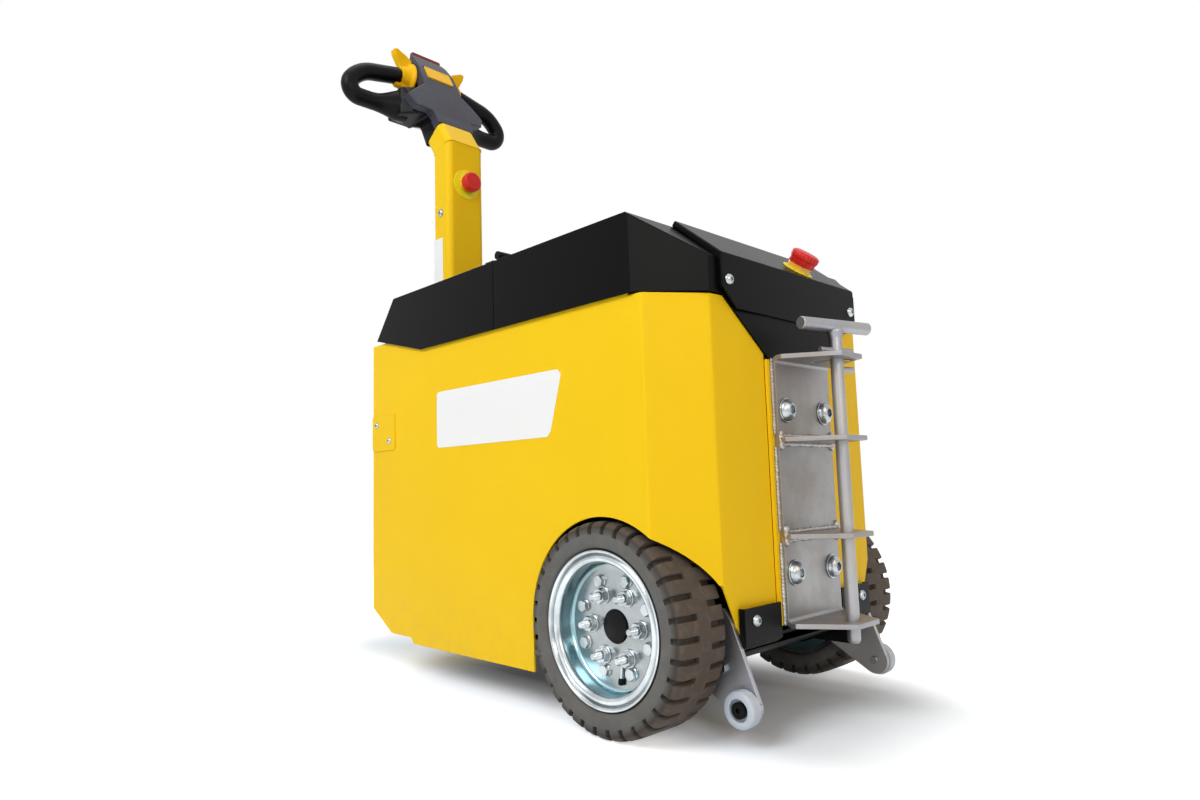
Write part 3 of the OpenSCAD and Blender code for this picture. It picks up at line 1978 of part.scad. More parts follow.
chassis_frame();
belly_tray();
lower_tabs();
body_screws();
side_panel_left();
side_panel_right();
front_plate();
rear_panel();
front_hood();
hood_panel();
battery_lid();
lid_hinge_fixed();
lid_hinge_moving();
hitch_bracket();
hitch_mid_plates();
hitch_bolts();
hitch_backing();
hitch_pin();
wheel_housings();
transaxle();
drive_motor();
parking_brake();
batteries();
battery_tray();
motor_controller();
main_contactor();
charge_socket();
access_plates();
label_plates();
roller_arms();
roller_axles();
roller_left();
roller_right();
castor_plate();
castor_fork();
castor_wheel();
tyre_left();
tyre_right();
rim_left();
rim_right();
wheel_hub_left();
wheel_hub_right();
wheel_fasteners_left();
wheel_fasteners_right();
tiller_column();
column_post();
tiller_bracket();
column_bolts();
stop_discs();
stop_bases();
front_stop_head();
tiller_stop_head();
head_shell();
head_base();
handle_loop_left();
handle_loop_right();
paddle_left();
paddle_right();
belly_button();
horn_button();
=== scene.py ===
import json
import math
import random
from functools import partialmethod

import bmesh
import bpy
from bpy.props import FloatProperty, FloatVectorProperty, IntProperty, PointerProperty
from mathutils import Matrix, Vector


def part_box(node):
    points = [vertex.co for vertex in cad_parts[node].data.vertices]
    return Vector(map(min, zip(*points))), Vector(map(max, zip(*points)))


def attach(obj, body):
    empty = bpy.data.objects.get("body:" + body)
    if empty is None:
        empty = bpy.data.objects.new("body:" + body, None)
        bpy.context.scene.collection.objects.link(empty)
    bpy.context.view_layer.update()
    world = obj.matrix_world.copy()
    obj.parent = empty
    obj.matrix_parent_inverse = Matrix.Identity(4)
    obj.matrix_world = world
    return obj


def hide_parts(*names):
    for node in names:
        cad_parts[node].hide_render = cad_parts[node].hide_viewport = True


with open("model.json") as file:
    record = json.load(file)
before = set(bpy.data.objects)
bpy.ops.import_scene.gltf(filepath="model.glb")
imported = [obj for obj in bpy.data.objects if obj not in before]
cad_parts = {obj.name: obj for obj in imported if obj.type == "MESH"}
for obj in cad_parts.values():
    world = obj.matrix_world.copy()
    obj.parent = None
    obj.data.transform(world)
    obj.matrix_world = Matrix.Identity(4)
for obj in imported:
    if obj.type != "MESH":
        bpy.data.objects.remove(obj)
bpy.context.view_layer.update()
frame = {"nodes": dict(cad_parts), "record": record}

bl_info = {
    "name": "Walk behind electric tug",
    "version": (1, 0, 0),
    "blender": (4, 5, 0),
    "location": "View3D > Sidebar > Tug",
    "description": "Dresses the packed frame of a pedestrian electric tug",
    "category": "Object",
}

MM = 0.001
TYRE_LOW, TYRE_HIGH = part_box("tyre_left")
AXLE_X = (TYRE_LOW.x + TYRE_HIGH.x) / 2
AXLE_Z = (TYRE_LOW.z + TYRE_HIGH.z) / 2
SIDES = ((1, "left"), (-1, "right"))

# Places in millimetres from the drive axle's middle and the floor
TYRE_RADIUS = 125
TYRE_Y = 202.9
ROLLER_X, ROLLER_Z = 138, 43
CASTOR_X, CASTOR_Z = -445, 40
PIN_X = 189
COLUMN_X = -630
HUB_X, HUB_Z = -741, 1176
BELLY_PLACE = (-768, 0, 1234)
FRONT_STOP_X, FRONT_STOP_Y = 115.5, 44
TILLER_STOP = (-601.5, 0, 909)
HOOD_EDGE_X, HOOD_EDGE_Z = 63, 610
PANEL_RISE = 8
VALVE_PLACE = (8, 217, 64)
WELD_X = 141.6

# Half sizes in millimetres of the pockets in which the head's buttons slide
BELLY_POCKET = (22.4, 37, 43)
SIGNAL_POCKET = (19.6, 32.1, 20)

# Where the hitch's two middle plates start, and where its button screws sit
MIDDLE_PLATES_Z = (221, 338)
HITCH_SCREWS_X, HITCH_SCREWS_Y, HITCH_SCREWS_Z = 140.4, 44.5, (179.5, 378)

HOOD_SLOPE = math.radians(39.09)
HEAD_LEAN = math.radians(58.8)

# The picture's camera: its place as above, its turns in degrees, its lens and sensor in millimetres
CAMERA_PLACE = (665.1, -886.7, 290.8)
CAMERA_TURNS = (45.84, 6.07, -1.68)
CAMERA_LENS, CAMERA_SENSOR = 23.31, 36
CAMERA_SHIFT = (0.0051, 0.0032)

# The lamps: place and target in metres, size in metres, power in watts, colour
LAMPS = {
    "side_softbox": ((0.3, -3.0, 2.7), (0.0, 0.0, 0.45), 1.8, 75, (1.0, 1.0, 1.0)),
    "corner_softbox": ((2.95, -1.9, 1.5), (0.35, -0.15, 0.55), 0.8, 20, (1.0, 0.96, 0.9)),
    "front_softbox": ((3.2, 0.0, 1.8), (0.0, 0.0, 0.4), 1.6, 14, (1.0, 0.66, 0.36)),
    "top_softbox": ((-0.3, 0.2, 3.6), (0.0, 0.0, 0.3), 2.2, 20, (1.0, 1.0, 1.0)),
    "rear_softbox": ((-2.8, 1.8, 2.0), (0.0, 0.0, 0.5), 1.6, 30, (1.0, 1.0, 1.0)),
}

# The world's strength as a lamp, and what is added where it is seen
SKY_LIGHT, SKY_SEEN = 0.26, 0.74

# The floor turns plain white between these shares of its reach in metres
FLOOR_REACH = 8
FLOOR_FADE = (0.16, 0.34)

# Painted shadow: the floor glows for the camera and in reflections, and its shade is full under this half
# length and half width, where the glow is least, and is lifted in steps over this reach
SHADE_HALVES = (0.40, 0.10)
SHADE_REACH = 0.5
SHADE_STEPS = ((0.0, 0.04), (0.1, 0.16), (0.2, 0.45), (0.36, 0.8))

# How far apart points may lie and still be one, and how flat a seam may be and still be no edge
TURNED_MERGE = 0.000002
FRAME_MERGE = 0.000004
FLAT_SEAM = math.radians(0.6)

# A folded corner is at least this long, bends by an angle between these two and joins faces wider than this
FOLD_LENGTH = 0.03
FOLD_BENDS = (math.radians(11), math.radians(120))
FOLD_FACE = 0.008

# A tyre's outline has this many steps to a lug, grooves from this radius on and a plain rib in the middle
LUG_STEPS = 10
GROOVE_RADIUS = 109
RIB_HALF = 10.5

# The fluted part of a red stop head: steps to a flute, smallest radius and the heights between which it lies
FLUTE_STEPS = 4
FLUTE_RADIUS = 18.7
FLUTE_HEIGHTS = (17.2, 24)

# The grey shell leans back beyond its creases, which lie this far out and spread further below a height
CREASE_Y, CREASE_SPREAD = 33, 7
CREASE_Z, CREASE_FALL = 1110, 60
CREASE_LEAN = 0.17

# It leans back further beyond its wings' roots, and not at all near its lower edge
WING_Y, WING_LEAN = 80, 0.2
SHELL_FOOT_Z, SHELL_FOOT_HEIGHT = 1040, 22

# A paddle's hub is waisted by this depth from this y on, between two radii, each with its blend
WAIST_DEPTH = 7.4
WAIST_Y, WAIST_LENGTH = 52, 18
WAIST_INNER, WAIST_INNER_BLEND = 13, 12
WAIST_OUTER, WAIST_OUTER_BLEND = 44, 16

# A hexagon's half width across its flats, as a share of its radius
FLAT_SHARE = 0.866


def linear(red, green, blue):
    """A colour in the usual steps from 0 to 255, as scene linear values."""
    out = []
    for step in (red, green, blue):
        share = step / 255
        out.append(share / 12.92 if share <= 0.04045 else ((share + 0.055) / 1.055) ** 2.4)
    return tuple(out)


def at(x, y, z):
    """A point in millimetres from the drive axle's middle and the floor, in metres of the frame."""
    return Vector((AXLE_X + x * MM, y * MM, z * MM))


def colour_setting(label, words, red, green, blue):
    return FloatVectorProperty(
        name=label, description=words, subtype="COLOR", size=3, min=0, max=1,
        default=linear(red, green, blue),
    )


def length_setting(label, words, millimetres):
    return FloatProperty(name=label, description=words, default=millimetres * MM, unit="LENGTH", min=0)


class TugSizes(bpy.types.PropertyGroup):
    """Sizes of the details that the dressing adds to the frame."""

    sheet_edge: length_setting("Sheet edge", "Rounding of the painted sheets' cut edges", 0.5)
    bend_offset: length_setting("Bend offset", "How far a folded corner is rounded on each side", 2.6)
    plate_edge: length_setting("Plate edge", "Rounding of the hitch and arm plates", 0.7)
    lug_depth: length_setting("Lug depth", "Depth of the grooves between the tyre lugs", 6.5)
    lug_round: length_setting("Lug rounding", "Rounding of the tyre lugs", 0.9)
    thread_pitch: length_setting("Thread pitch", "Distance between two threads of a wheel stud", 1.5)
    bead_length: length_setting("Weld ripple", "Length of one ripple of a weld", 6.0)
    plastic_voxel: length_setting("Moulding grain", "Fineness of the moulded tiller parts' mesh", 1.3)
    lug_count: IntProperty(
        name="Lugs", description="Lugs on each shoulder of a tyre", default=34, min=12, max=60
    )


class TugColours(bpy.types.PropertyGroup):
    """Colours of the finishes."""

    yellow: colour_setting("Yellow powder coat", "Body sheets and tiller column", 248, 203, 26)
    cover: colour_setting("Cover black", "Textured black of the cover", 7, 7, 8)
    gloss_black: colour_setting("Chassis black", "Black paint of brackets and chassis", 12, 12, 13)
    steel: colour_setting("Plate steel", "Bare steel of the hitch and the roller arms", 154, 153, 152)
    zinc: colour_setting("Zinc", "Bright plating of rims and fasteners", 214, 221, 224)
    tyre: colour_setting("Tread rubber", "Brown grey of the tyres' treads", 77, 68, 60)
    tyre_wall: colour_setting("Wall rubber", "Grey of the tyres' side walls", 94, 93, 90)
    nylon: colour_setting("Nylon", "White of the guide rollers", 198, 207, 218)
    shell: colour_setting("Grey shell", "Slate grey moulding of the tiller head", 56, 57, 68)
    plastic: colour_setting("Black plastic", "Loops, base of the head, wheel caps", 12, 12, 13)
    paddle: colour_setting("Yellow plastic", "Paddles and signal button", 250, 190, 14)
    stop: colour_setting("Stop red", "Heads of the emergency stops", 214, 38, 28)
    legend: colour_setting("Legend yellow", "Blank discs under the emergency stops", 250, 240, 22)
    collar: colour_setting("Collar amber", "Collars of the emergency stops", 232, 176, 44)
    belly: colour_setting("Belly red", "Dark red of the belly switch", 120, 16, 24)
    label: colour_setting("Label white", "Blank label plates", 244, 244, 242)
    castor: colour_setting("Castor rubber", "Grey tread of the castor wheel", 58, 58, 60)
    battery: colour_setting("Battery case", "Dark grey of the battery cases", 44, 46, 50)


def start_fresh():
    """Object mode with nothing selected, so that an operator acts only on its own piece."""
    if bpy.context.object and bpy.context.object.mode != "OBJECT":
        bpy.ops.object.mode_set(mode="OBJECT")
    bpy.ops.object.select_all(action="DESELECT")


def take(piece):
    start_fresh()
    piece.select_set(True)
    bpy.context.view_layer.objects.active = piece


def edit(piece):
    take(piece)
    bpy.ops.object.mode_set(mode="EDIT")
    bpy.ops.mesh.select_mode(type="VERT")


def leave():
    bpy.ops.object.mode_set(mode="OBJECT")


def select_all():
    bpy.ops.mesh.select_all(action="SELECT")


def closed(piece):
    """Leaves edit mode with all normals turned to the outside."""
    select_all()
    bpy.ops.mesh.normals_make_consistent(inside=False)
    leave()
    return piece


def extrude(height=0.0):
    """Pulls the picked faces out along Z, or only doubles them."""
    bpy.ops.mesh.extrude_region_move(TRANSFORM_OT_translate={"value": (0, 0, height)})


def named(name):
    """The primitive that was just added, with its name."""
    bpy.context.object.name = name
    return bpy.context.object


def apply_place():
    bpy.ops.object.transform_apply(location=True, rotation=True, scale=True)


def drop(*pieces):
    for piece in pieces:
        bpy.data.objects.remove(piece)


def clamped(value):
    """A number kept between zero and one."""
    return max(0.0, min(1.0, value))


def around(face):
    """A turned piece's face: its turn from 0 to 1, its radius and its height in millimetres."""
    middle = face.calc_center_median()
    turn = math.atan2(middle.y, middle.x) / (2 * math.pi) % 1
    return turn, math.hypot(middle.x, middle.y) / MM, middle.z / MM


def pick(piece, kind, test):
    """In edit mode, selects the vertices, edges or faces that pass the test, and tells how many."""
    bpy.ops.mesh.select_mode(type=kind)
    bpy.ops.mesh.select_all(action="DESELECT")
    mesh = bmesh.from_edit_mesh(piece.data)
    items = {"VERT": mesh.verts, "EDGE": mesh.edges, "FACE": mesh.faces}[kind]
    items.ensure_lookup_table()
    found = 0
    for item in items:
        if test(item):
            item.select_set(True)
            found += 1
    mesh.select_flush_mode()
    bmesh.update_edit_mesh(piece.data)
    return found


def finish_modifier(piece, kind, **settings):
    """Adds a modifier, sets it and applies it."""
    take(piece)
    modifier = piece.modifiers.new(kind.lower(), kind)
    for key, value in settings.items():
        setattr(modifier, key, value)
    bpy.ops.object.modifier_apply(modifier=modifier.name)
    return piece


def settle(piece, matrix):
    """Puts a piece in its place, with the place in its mesh."""
    take(piece)
    piece.matrix_world = matrix
    apply_place()
    if matrix.to_3x3().determinant() < 0:
        edit(piece)
        select_all()
        bpy.ops.mesh.flip_normals()
        leave()
    return piece


def twin(piece, name, matrix):
    """A copy of a piece with a mesh of its own, in its place."""
    copy = bpy.data.objects.new(name, piece.data.copy())
    bpy.context.scene.collection.objects.link(copy)
    return settle(copy, matrix)


def other_side(piece, name):
    return twin(piece, name, Matrix.Diagonal((1, -1, 1, 1)))


def joined(pieces, name):
    take(pieces[0])
    for piece in pieces:
        piece.select_set(True)
    bpy.ops.object.join()
    return named(name)


def smooth(piece, degrees=32, flats=True):
    """Smooth shading with true flats beside the rounded edges."""
    take(piece)
    bpy.ops.object.shade_smooth_by_angle(angle=math.radians(degrees))
    if flats:
        finish_modifier(piece, "WEIGHTED_NORMAL", keep_sharp=True, weight=60)
    return piece


def round_edges(piece, width, segments=2, degrees=30, held=False):
    return finish_modifier(
        piece, "BEVEL", width=width, segments=segments, limit_method="ANGLE",
        angle_limit=math.radians(degrees), use_clamp_overlap=held,
    )


def stays_inside(piece, low, high, room=0.0003):
    """Whether a rounded piece still lies in the box that it had before."""
    for vertex in piece.data.vertices:
        for i in range(3):
            if not low[i] - room <= vertex.co[i] <= high[i] + room:
                return False
    return True


def cut(piece, tool, operation="DIFFERENCE"):
    finish_modifier(piece, "BOOLEAN", object=tool, operation=operation, solver="EXACT")
    drop(tool)
    return piece


def turned(name, outline, steps=64):
    """A piece turned about Z. The outline gives (radius, height) in millimetres."""
    start_fresh()
    bpy.ops.mesh.primitive_plane_add(size=MM, location=(0, 0, 0))
    piece = named(name)
    edit(piece)
    select_all()
    bpy.ops.mesh.merge(type="CENTER")
    radius, height = outline[0]
    bpy.ops.transform.translate(value=(radius * MM, 0, height * MM))
    for next_radius, next_height in outline[1:]:
        step = ((next_radius - radius) * MM, 0, (next_height - height) * MM)
        bpy.ops.mesh.extrude_vertices_move(TRANSFORM_OT_translate={"value": step})
        radius, height = next_radius, next_height
    select_all()
    bpy.ops.mesh.spin(steps=steps, angle=2 * math.pi, center=(0, 0, 0), axis=(0, 0, 1))
    select_all()
    bpy.ops.mesh.remove_doubles(threshold=TURNED_MERGE)
    return closed(piece)


def ring(outline):
    """The outline closed on itself."""
    return list(outline) + [outline[0]]


def facing(direction, place, roll=0.0):
    """The matrix that turns Z to a direction and moves the origin to a place."""
    turn = Vector(direction).to_track_quat("Z", "Y").to_matrix().to_4x4()
    return Matrix.Translation(place) @ turn @ Matrix.Rotation(roll, 4, "Z")


def sideways(side, x, y, z, turn=0.0):
    """Z to the outside of one side, with X kept."""
    return (
        Matrix.Translation(at(x, side * y, z))
        @ Matrix.Rotation(-side * math.pi / 2, 4, "X")
        @ Matrix.Rotation(turn, 4, "Z")
    )


def hexagon(name, radius, low, high):
    start_fresh()
    bpy.ops.mesh.primitive_cylinder_add(
        vertices=6, radius=radius * MM, depth=(high - low) * MM, location=(0, 0, (high + low) / 2 * MM)
    )
    piece = named(name)
    apply_place()
    return piece


def hex_head(name, radius, low, high, dome=0.0):
    """A hexagon whose corners are turned off, as on a nut or a bolt head."""
    flat = radius * FLAT_SHARE
    piece = hexagon(name, radius, low, high)
    edge = (radius - flat) * 0.55
    barrel = turned(name + "_barrel", [
        (0, low - 1), (flat * 0.99, low - 1), (flat * 0.99, low), (radius + 0.1, low + edge),
        (radius + 0.1, high - edge), (flat * 0.97, high), (0, high + dome),
    ], 48)
    cut(piece, barrel, "INTERSECT")
    return round_edges(piece, 0.25 * MM, 1, 40)


def socket_screw(name, radius, height, key, domed=False):
    """The head of a socket screw, its base at zero and its axis on Z."""
    if domed:
        outline = [
            (0, -2), (radius * 0.6, -2), (radius * 0.6, 0), (radius, 0), (radius, height * 0.16),
            (radius * 0.93, height * 0.45), (radius * 0.8, height * 0.7), (radius * 0.62, height * 0.9),
            (radius * 0.5, height), (0, height),
        ]
    else:
        outline = [
            (0, -2), (radius * 0.6, -2), (radius * 0.6, 0), (radius * 0.96, 0), (radius, height * 0.08),
            (radius, height * 0.86), (radius * 0.93, height), (0, height),
        ]
    piece = turned(name, outline, 40)
    return cut(piece, hexagon(name + "_key", key, height * 0.4, height + 2))


class Wire:
    """One output of a finish's node, so that its maths reads as plain Python."""

    def __init__(self, finish, socket):
        self.finish = finish
        self.socket = socket

    def before(self, operation, other):
        return self.finish.maths(operation, self, other)

    def after(self, operation, other):
        return self.finish.maths(operation, other, self)

    __add__ = partialmethod(before, "ADD")
    __radd__ = partialmethod(after, "ADD")
    __sub__ = partialmethod(before, "SUBTRACT")
    __rsub__ = partialmethod(after, "SUBTRACT")
    __mul__ = partialmethod(before, "MULTIPLY")
    __truediv__ = partialmethod(before, "DIVIDE")

    def held(self):
        """The value kept between zero and one."""
        return self.finish.add("Clamp", values={"Value": self})

    def sine(self):
        return self.finish.maths("SINE", self)

    def root(self):
        return self.finish.maths("SQRT", self)


class Finish:
    """The nodes of one finish of the tug."""

    def __init__(self, name, makes=None):
        self.material = (bpy.data.materials if makes is None else makes).new(name)
        self.material.use_nodes = True
        self.tree = self.material.node_tree
        self.tree.nodes.clear()
        if makes is None:
            self.spot = self.add("TexCoord", out="Object")

    def feed(self, socket, value):
        if isinstance(value, Wire):
            self.tree.links.new(value.socket, socket)
        elif socket.type == "RGBA" and len(value) == 3:
            socket.default_value = (*value, 1)
        else:
            socket.default_value = value

    def add(self, kind, settings=None, values=None, out=0):
        """Any node: its settings first, then the values or wires of its sockets."""
        node = self.tree.nodes.new("ShaderNode" + kind)
        for key, value in (settings or {}).items():
            if key == "stops":
                ramp = node.color_ramp
                while len(ramp.elements) < len(value):
                    ramp.elements.new(0.5)
                for element, (position, shade) in zip(ramp.elements, value):
                    element.position = position
                    element.color = (shade, shade, shade, 1)
            else:
                setattr(node, key, value)
        for key, value in (values or {}).items():
            self.feed(node.inputs[key], value)
        return Wire(self, node.outputs[out]) if len(node.outputs) else None

    def maths(self, operation, *terms):
        return self.add("Math", {"operation": operation}, dict(enumerate(terms)))

    def stretched(self, x, y, z):
        return self.add("Mapping", values={"Vector": self.spot, "Scale": (x, y, z)})

    def noise(self, scale, detail=2.0, rough=0.5, spot=None):
        values = {"Vector": spot or self.spot, "Scale": scale, "Detail": detail, "Roughness": rough}
        return self.add("TexNoise", {"noise_dimensions": "3D"}, values)

    def cells(self, scale):
        return self.add("TexVoronoi", {"feature": "F1"}, {"Vector": self.spot, "Scale": scale})

    def steps(self, value, *stops):
        return self.add("ValToRGB", {"stops": stops}, {"Fac": value})

    def fade(self, value, low, high):
        """From zero to one between two values."""
        return self.steps(value, (low, 0.0), (high, 1.0))

    def mix(self, share, first, second):
        return self.add("Mix", {"data_type": "RGBA"}, {0: share, 6: first, 7: second}, out=2)

    def parts(self):
        """The piece's x, y and z."""
        first = self.add("SeparateXYZ", values={0: self.spot})
        return [Wire(self, out) for out in first.socket.node.outputs]

    def from_axle(self):
        """How far a place lies above the drive axle and how far from it, and its y."""
        x, y, z = self.parts()
        across = x - AXLE_X
        up = z - AXLE_Z
        return up, (across * across + up * up).root(), y

    def seen(self):
        """One for rays that show a background: from the camera, from metal and through glass."""
        camera, glossy, glass = (
            self.add("LightPath", out="Is " + kind + " Ray") for kind in ("Camera", "Glossy", "Transmission")
        )
        return self.maths("MAXIMUM", self.maths("MAXIMUM", camera, glossy), glass)

    def bump(self, height, depth):
        """A relief of a real depth in metres."""
        return self.add("Bump", values={"Height": height, "Distance": depth, "Strength": 1.0})

    def surface(self, **values):
        names = {key.replace("_", " ").title().replace("Ior", "IOR"): value for key, value in values.items()}
        shader = self.add("BsdfPrincipled", values=names)
        self.add("OutputMaterial", values={"Surface": shader})
        return self.material


def tint(colour, share):
    return tuple(min(1.0, c * share) for c in colour)


def powder_coat(name, colour, grain, depth, rough, settled, specular):
    """Powder coat: a faint orange peel, slow changes of shade and a little dust low down."""
    coat = Finish(name)
    slow = coat.noise(4.0, 3.0)
    peel = coat.noise(grain, 2.0)
    fine = coat.noise(grain * 3.1, 1.0)
    height = coat.parts()[2]
    dust = (1.0 - height / 0.17).held() * coat.fade(coat.noise(26.0, 6.0, 0.65), 0.45, 0.75) * settled
    speck = coat.fade(coat.noise(240.0, 3.0, 0.6), 0.70, 0.78) * 0.18
    shade = coat.mix(slow, tint(colour, 0.95), tint(colour, 1.04))
    shade = coat.mix(speck, shade, tint(colour, 0.8))
    shade = coat.mix(dust, shade, linear(150, 140, 125))
    return coat.surface(
        base_color=shade, roughness=rough + slow * 0.08 + fine * 0.05 + dust * 0.4,
        normal=coat.bump(peel * 0.75 + fine * 0.25, depth), specular_ior_level=specular,
    )


def steel_plate(colours, name, share, patches):
    """Bright rolled steel: rolling streaks, cloudy patches and small scratches."""
    steel = Finish(name)
    streak = steel.noise(60.0, 5.0, 0.6, steel.stretched(1.0, 1.0, 0.08))
    patch = steel.noise(13.0, 6.0, 0.6)
    scale = steel.fade(patch, 0.40, 0.62)
    scratch = steel.fade(steel.noise(900.0, 2.0, 0.5, steel.stretched(0.06, 0.3, 1.0)), 0.62, 0.72)
    colour = tint(colours.steel, share)
    tarnish = steel.fade(steel.noise(6.0, 3.0, 0.55), 0.44, 0.60)
    red, green, blue = colour
    cool = (red * 0.86, green * 0.9, blue * 1.04)
    warm = (red * 0.8, green * 0.7, blue * 0.62)
    shade = steel.mix(scale * patches, steel.mix(tarnish, colour, cool), warm)
    shade = steel.mix(streak * 0.35, shade, tint(colour, 1.22))
    shade = steel.mix(scratch * 0.25, shade, tint(colour, 1.5))
    return steel.surface(
        base_color=shade, metallic=0.9, roughness=0.30 + scale * 0.14 + streak * 0.12,
        normal=steel.bump(streak * 0.5 + patch * 0.5, 0.00006),
    )


def zinc(colours):
    """Zinc plating: cool and bright, with soft clouds."""
    plate = Finish("zinc_plating")
    cloud = plate.noise(60.0, 4.0, 0.55)
    cool = plate.fade(cloud, 0.36, 0.64)
    shade = plate.mix(cool, tint(colours.zinc, 0.52), tint(colours.zinc, 0.78))
    return plate.surface(
        base_color=shade, metallic=1.0, roughness=0.2 + cloud * 0.12,
        normal=plate.bump(plate.noise(420.0, 3.0), 0.00001),
    )


def rim(colours):
    """Zinc plating on the wheel: pale disc, blue green barrel and a bright rolled lip. The barrel carries
    painted light, lighter towards its bottom and darker towards its top, and painted shade darkens the
    recessed ring by the lip and the barrel's inside behind the disc.
    """
    plate = Finish("rim_plating")
    up, radius, y = plate.from_axle()
    radius = radius / (100 * MM)
    depth = (y * y).root() / (300 * MM)
    cloud = plate.noise(26.0, 4.0, 0.55)
    cool = plate.fade(cloud, 0.38, 0.62)
    disc = plate.mix(cool, tint(colours.zinc, 0.38), tint(colours.zinc, 0.50))
    blue = linear(142, 176, 184)
    # Painted light on the barrel: lighter towards its bottom and darker towards its top
    barrel = plate.mix(plate.fade(up / 0.09 * 0.5 + 0.5, 0.2, 0.8), tint(blue, 1.45), tint(blue, 0.62))
    lip = plate.mix(cool, tint(colours.zinc, 0.66), tint(colours.zinc, 0.96))
    shade = plate.mix(plate.fade(radius, 0.715, 0.735), disc, barrel)
    shade = plate.mix(plate.fade(depth, 0.778, 0.79), shade, lip)
    # Painted shade in the recessed ring by the rolled lip
    lip_groove_shade = plate.steps(radius, (0.84, 0.0), (0.855, 1.0), (0.872, 1.0), (0.882, 0.0))
    shade = plate.mix(lip_groove_shade * 0.55, shade, tint(colours.zinc, 0.2))
    # Painted shade: the barrel's inside behind the disc is painted nearly black
    shade = plate.mix(plate.steps(depth, (0.69, 1.0), (0.70, 0.0)), shade, tint(blue, 0.12))
    turned_marks = (radius * 1500.0).sine() * 0.5 + 0.5
    return plate.surface(
        base_color=shade, metallic=1.0, roughness=0.16 + cloud * 0.12,
        normal=plate.bump(turned_marks * 0.3 + plate.noise(420.0, 3.0), 0.000008),
    )


def tyre_rubber(colours):
    """Solid tyre rubber: brown grey, dusty on the treads, with flow rings on the walls, and painted shade
    below the tread in the lug grooves and near the rim.
    """
    rubber = Finish("tyre_rubber")
    radius = rubber.from_axle()[1]
    rings = (radius * 5200.0 + rubber.noise(30.0, 2.0) * 5.0).sine() * 0.5 + 0.5
    wall = rubber.steps(radius / 0.125, (0.70, 1.0), (0.88, 1.0), (0.945, 0.0))
    cloud = rubber.noise(38.0, 6.0, 0.62)
    grain = rubber.noise(700.0, 3.0, 0.6)
    dusty = rubber.fade(cloud, 0.42, 0.66)
    tread = rubber.mix(dusty * 0.5, colours.tyre, tint(colours.tyre, 1.3))
    tread = rubber.mix(rubber.fade(rubber.noise(85.0, 5.0), 0.5, 0.75) * 0.5, tread, linear(116, 96, 78))
    side = rubber.mix(dusty, colours.tyre_wall, tint(colours.tyre_wall, 1.3))
    side = rubber.mix(rings * 0.25, side, tint(colours.tyre_wall, 0.8))
    # Painted shade: off the wall and below the tread's radius, as in the lug grooves and near the rim, the
    # rubber is painted darker
    low = rubber.fade(radius / 0.125, 0.945, 0.97)
    shade = rubber.mix(wall, rubber.mix(low, tint(colours.tyre, 0.55), tread), side)
    return rubber.surface(
        base_color=shade, roughness=0.62 + cloud * 0.2,
        normal=rubber.bump(grain * 0.5 + cloud * 0.3 + rings * wall * 0.35, 0.0001), specular_ior_level=0.35,
    )


def roller_nylon(colours):
    nylon = Finish("roller_nylon")
    cloud = nylon.noise(90.0, 4.0)
    scuff = nylon.fade(nylon.noise(160.0, 5.0, 0.6), 0.56, 0.72)
    shade = nylon.mix(cloud, tint(colours.nylon, 0.95), colours.nylon)
    shade = nylon.mix(scuff * 0.12, shade, linear(150, 148, 146))
    return nylon.surface(
        base_color=shade, roughness=0.34 + scuff * 0.2, normal=nylon.bump(nylon.noise(500.0), 0.00002),
        subsurface_weight=0.25, subsurface_scale=0.004,
    )


def moulded(name, colour, grain, depth, rough, coat, specular):
    """Moulded plastic: an eroded grain, slight sheen changes and handling marks."""
    plastic = Finish(name)
    cloud = plastic.noise(30.0, 4.0)
    eroded = plastic.cells(grain)
    rubbed = plastic.fade(plastic.noise(70.0, 5.0, 0.6), 0.52, 0.74)
    shade = plastic.mix(cloud, tint(colour, 0.9), tint(colour, 1.08))
    shade = plastic.mix(rubbed * 0.15, shade, tint(colour, 1.3))
    return plastic.surface(
        base_color=shade, roughness=rough + cloud * 0.08 - rubbed * 0.06,
        normal=plastic.bump(eroded * 0.7 + cloud * 0.3, depth),
        coat_weight=coat, specular_ior_level=specular,
    )


def cast_alloy(colours):
    cast = Finish("cast_alloy")
    pits = cast.cells(420.0)
    cloud = cast.noise(40.0, 5.0, 0.6)
    shade = cast.mix(cloud, linear(120, 122, 124), linear(168, 170, 172))
    return cast.surface(
        base_color=shade, metallic=0.8, roughness=0.45 + cloud * 0.15,
        normal=cast.bump(pits * 0.6 + cloud, 0.0002),
    )


def label_white(colours):
    sheet = Finish("label_film")
    cloud = sheet.noise(18.0, 4.0)
    shade = sheet.mix(cloud, tint(colours.label, 0.96), colours.label)
    return sheet.surface(
        base_color=shade, roughness=0.38 + cloud * 0.08, normal=sheet.bump(sheet.noise(300.0), 0.00001)
    )


# Powder coats by slot: material, colour, grain per metre, its depth, roughness, settled dust, specular level
POWDER_COATS = {
    "yellow_paint": ("yellow_powder_coat", "yellow", 620.0, 0.00002, 0.32, 0.18, 0.09),
    "black_cover": ("black_textured_cover", "cover", 1150.0, 0.00003, 0.28, 0.0, 0.07),
    "black_paint": ("black_chassis_paint", "gloss_black", 700.0, 0.00002, 0.30, 0.04, 0.09),
}

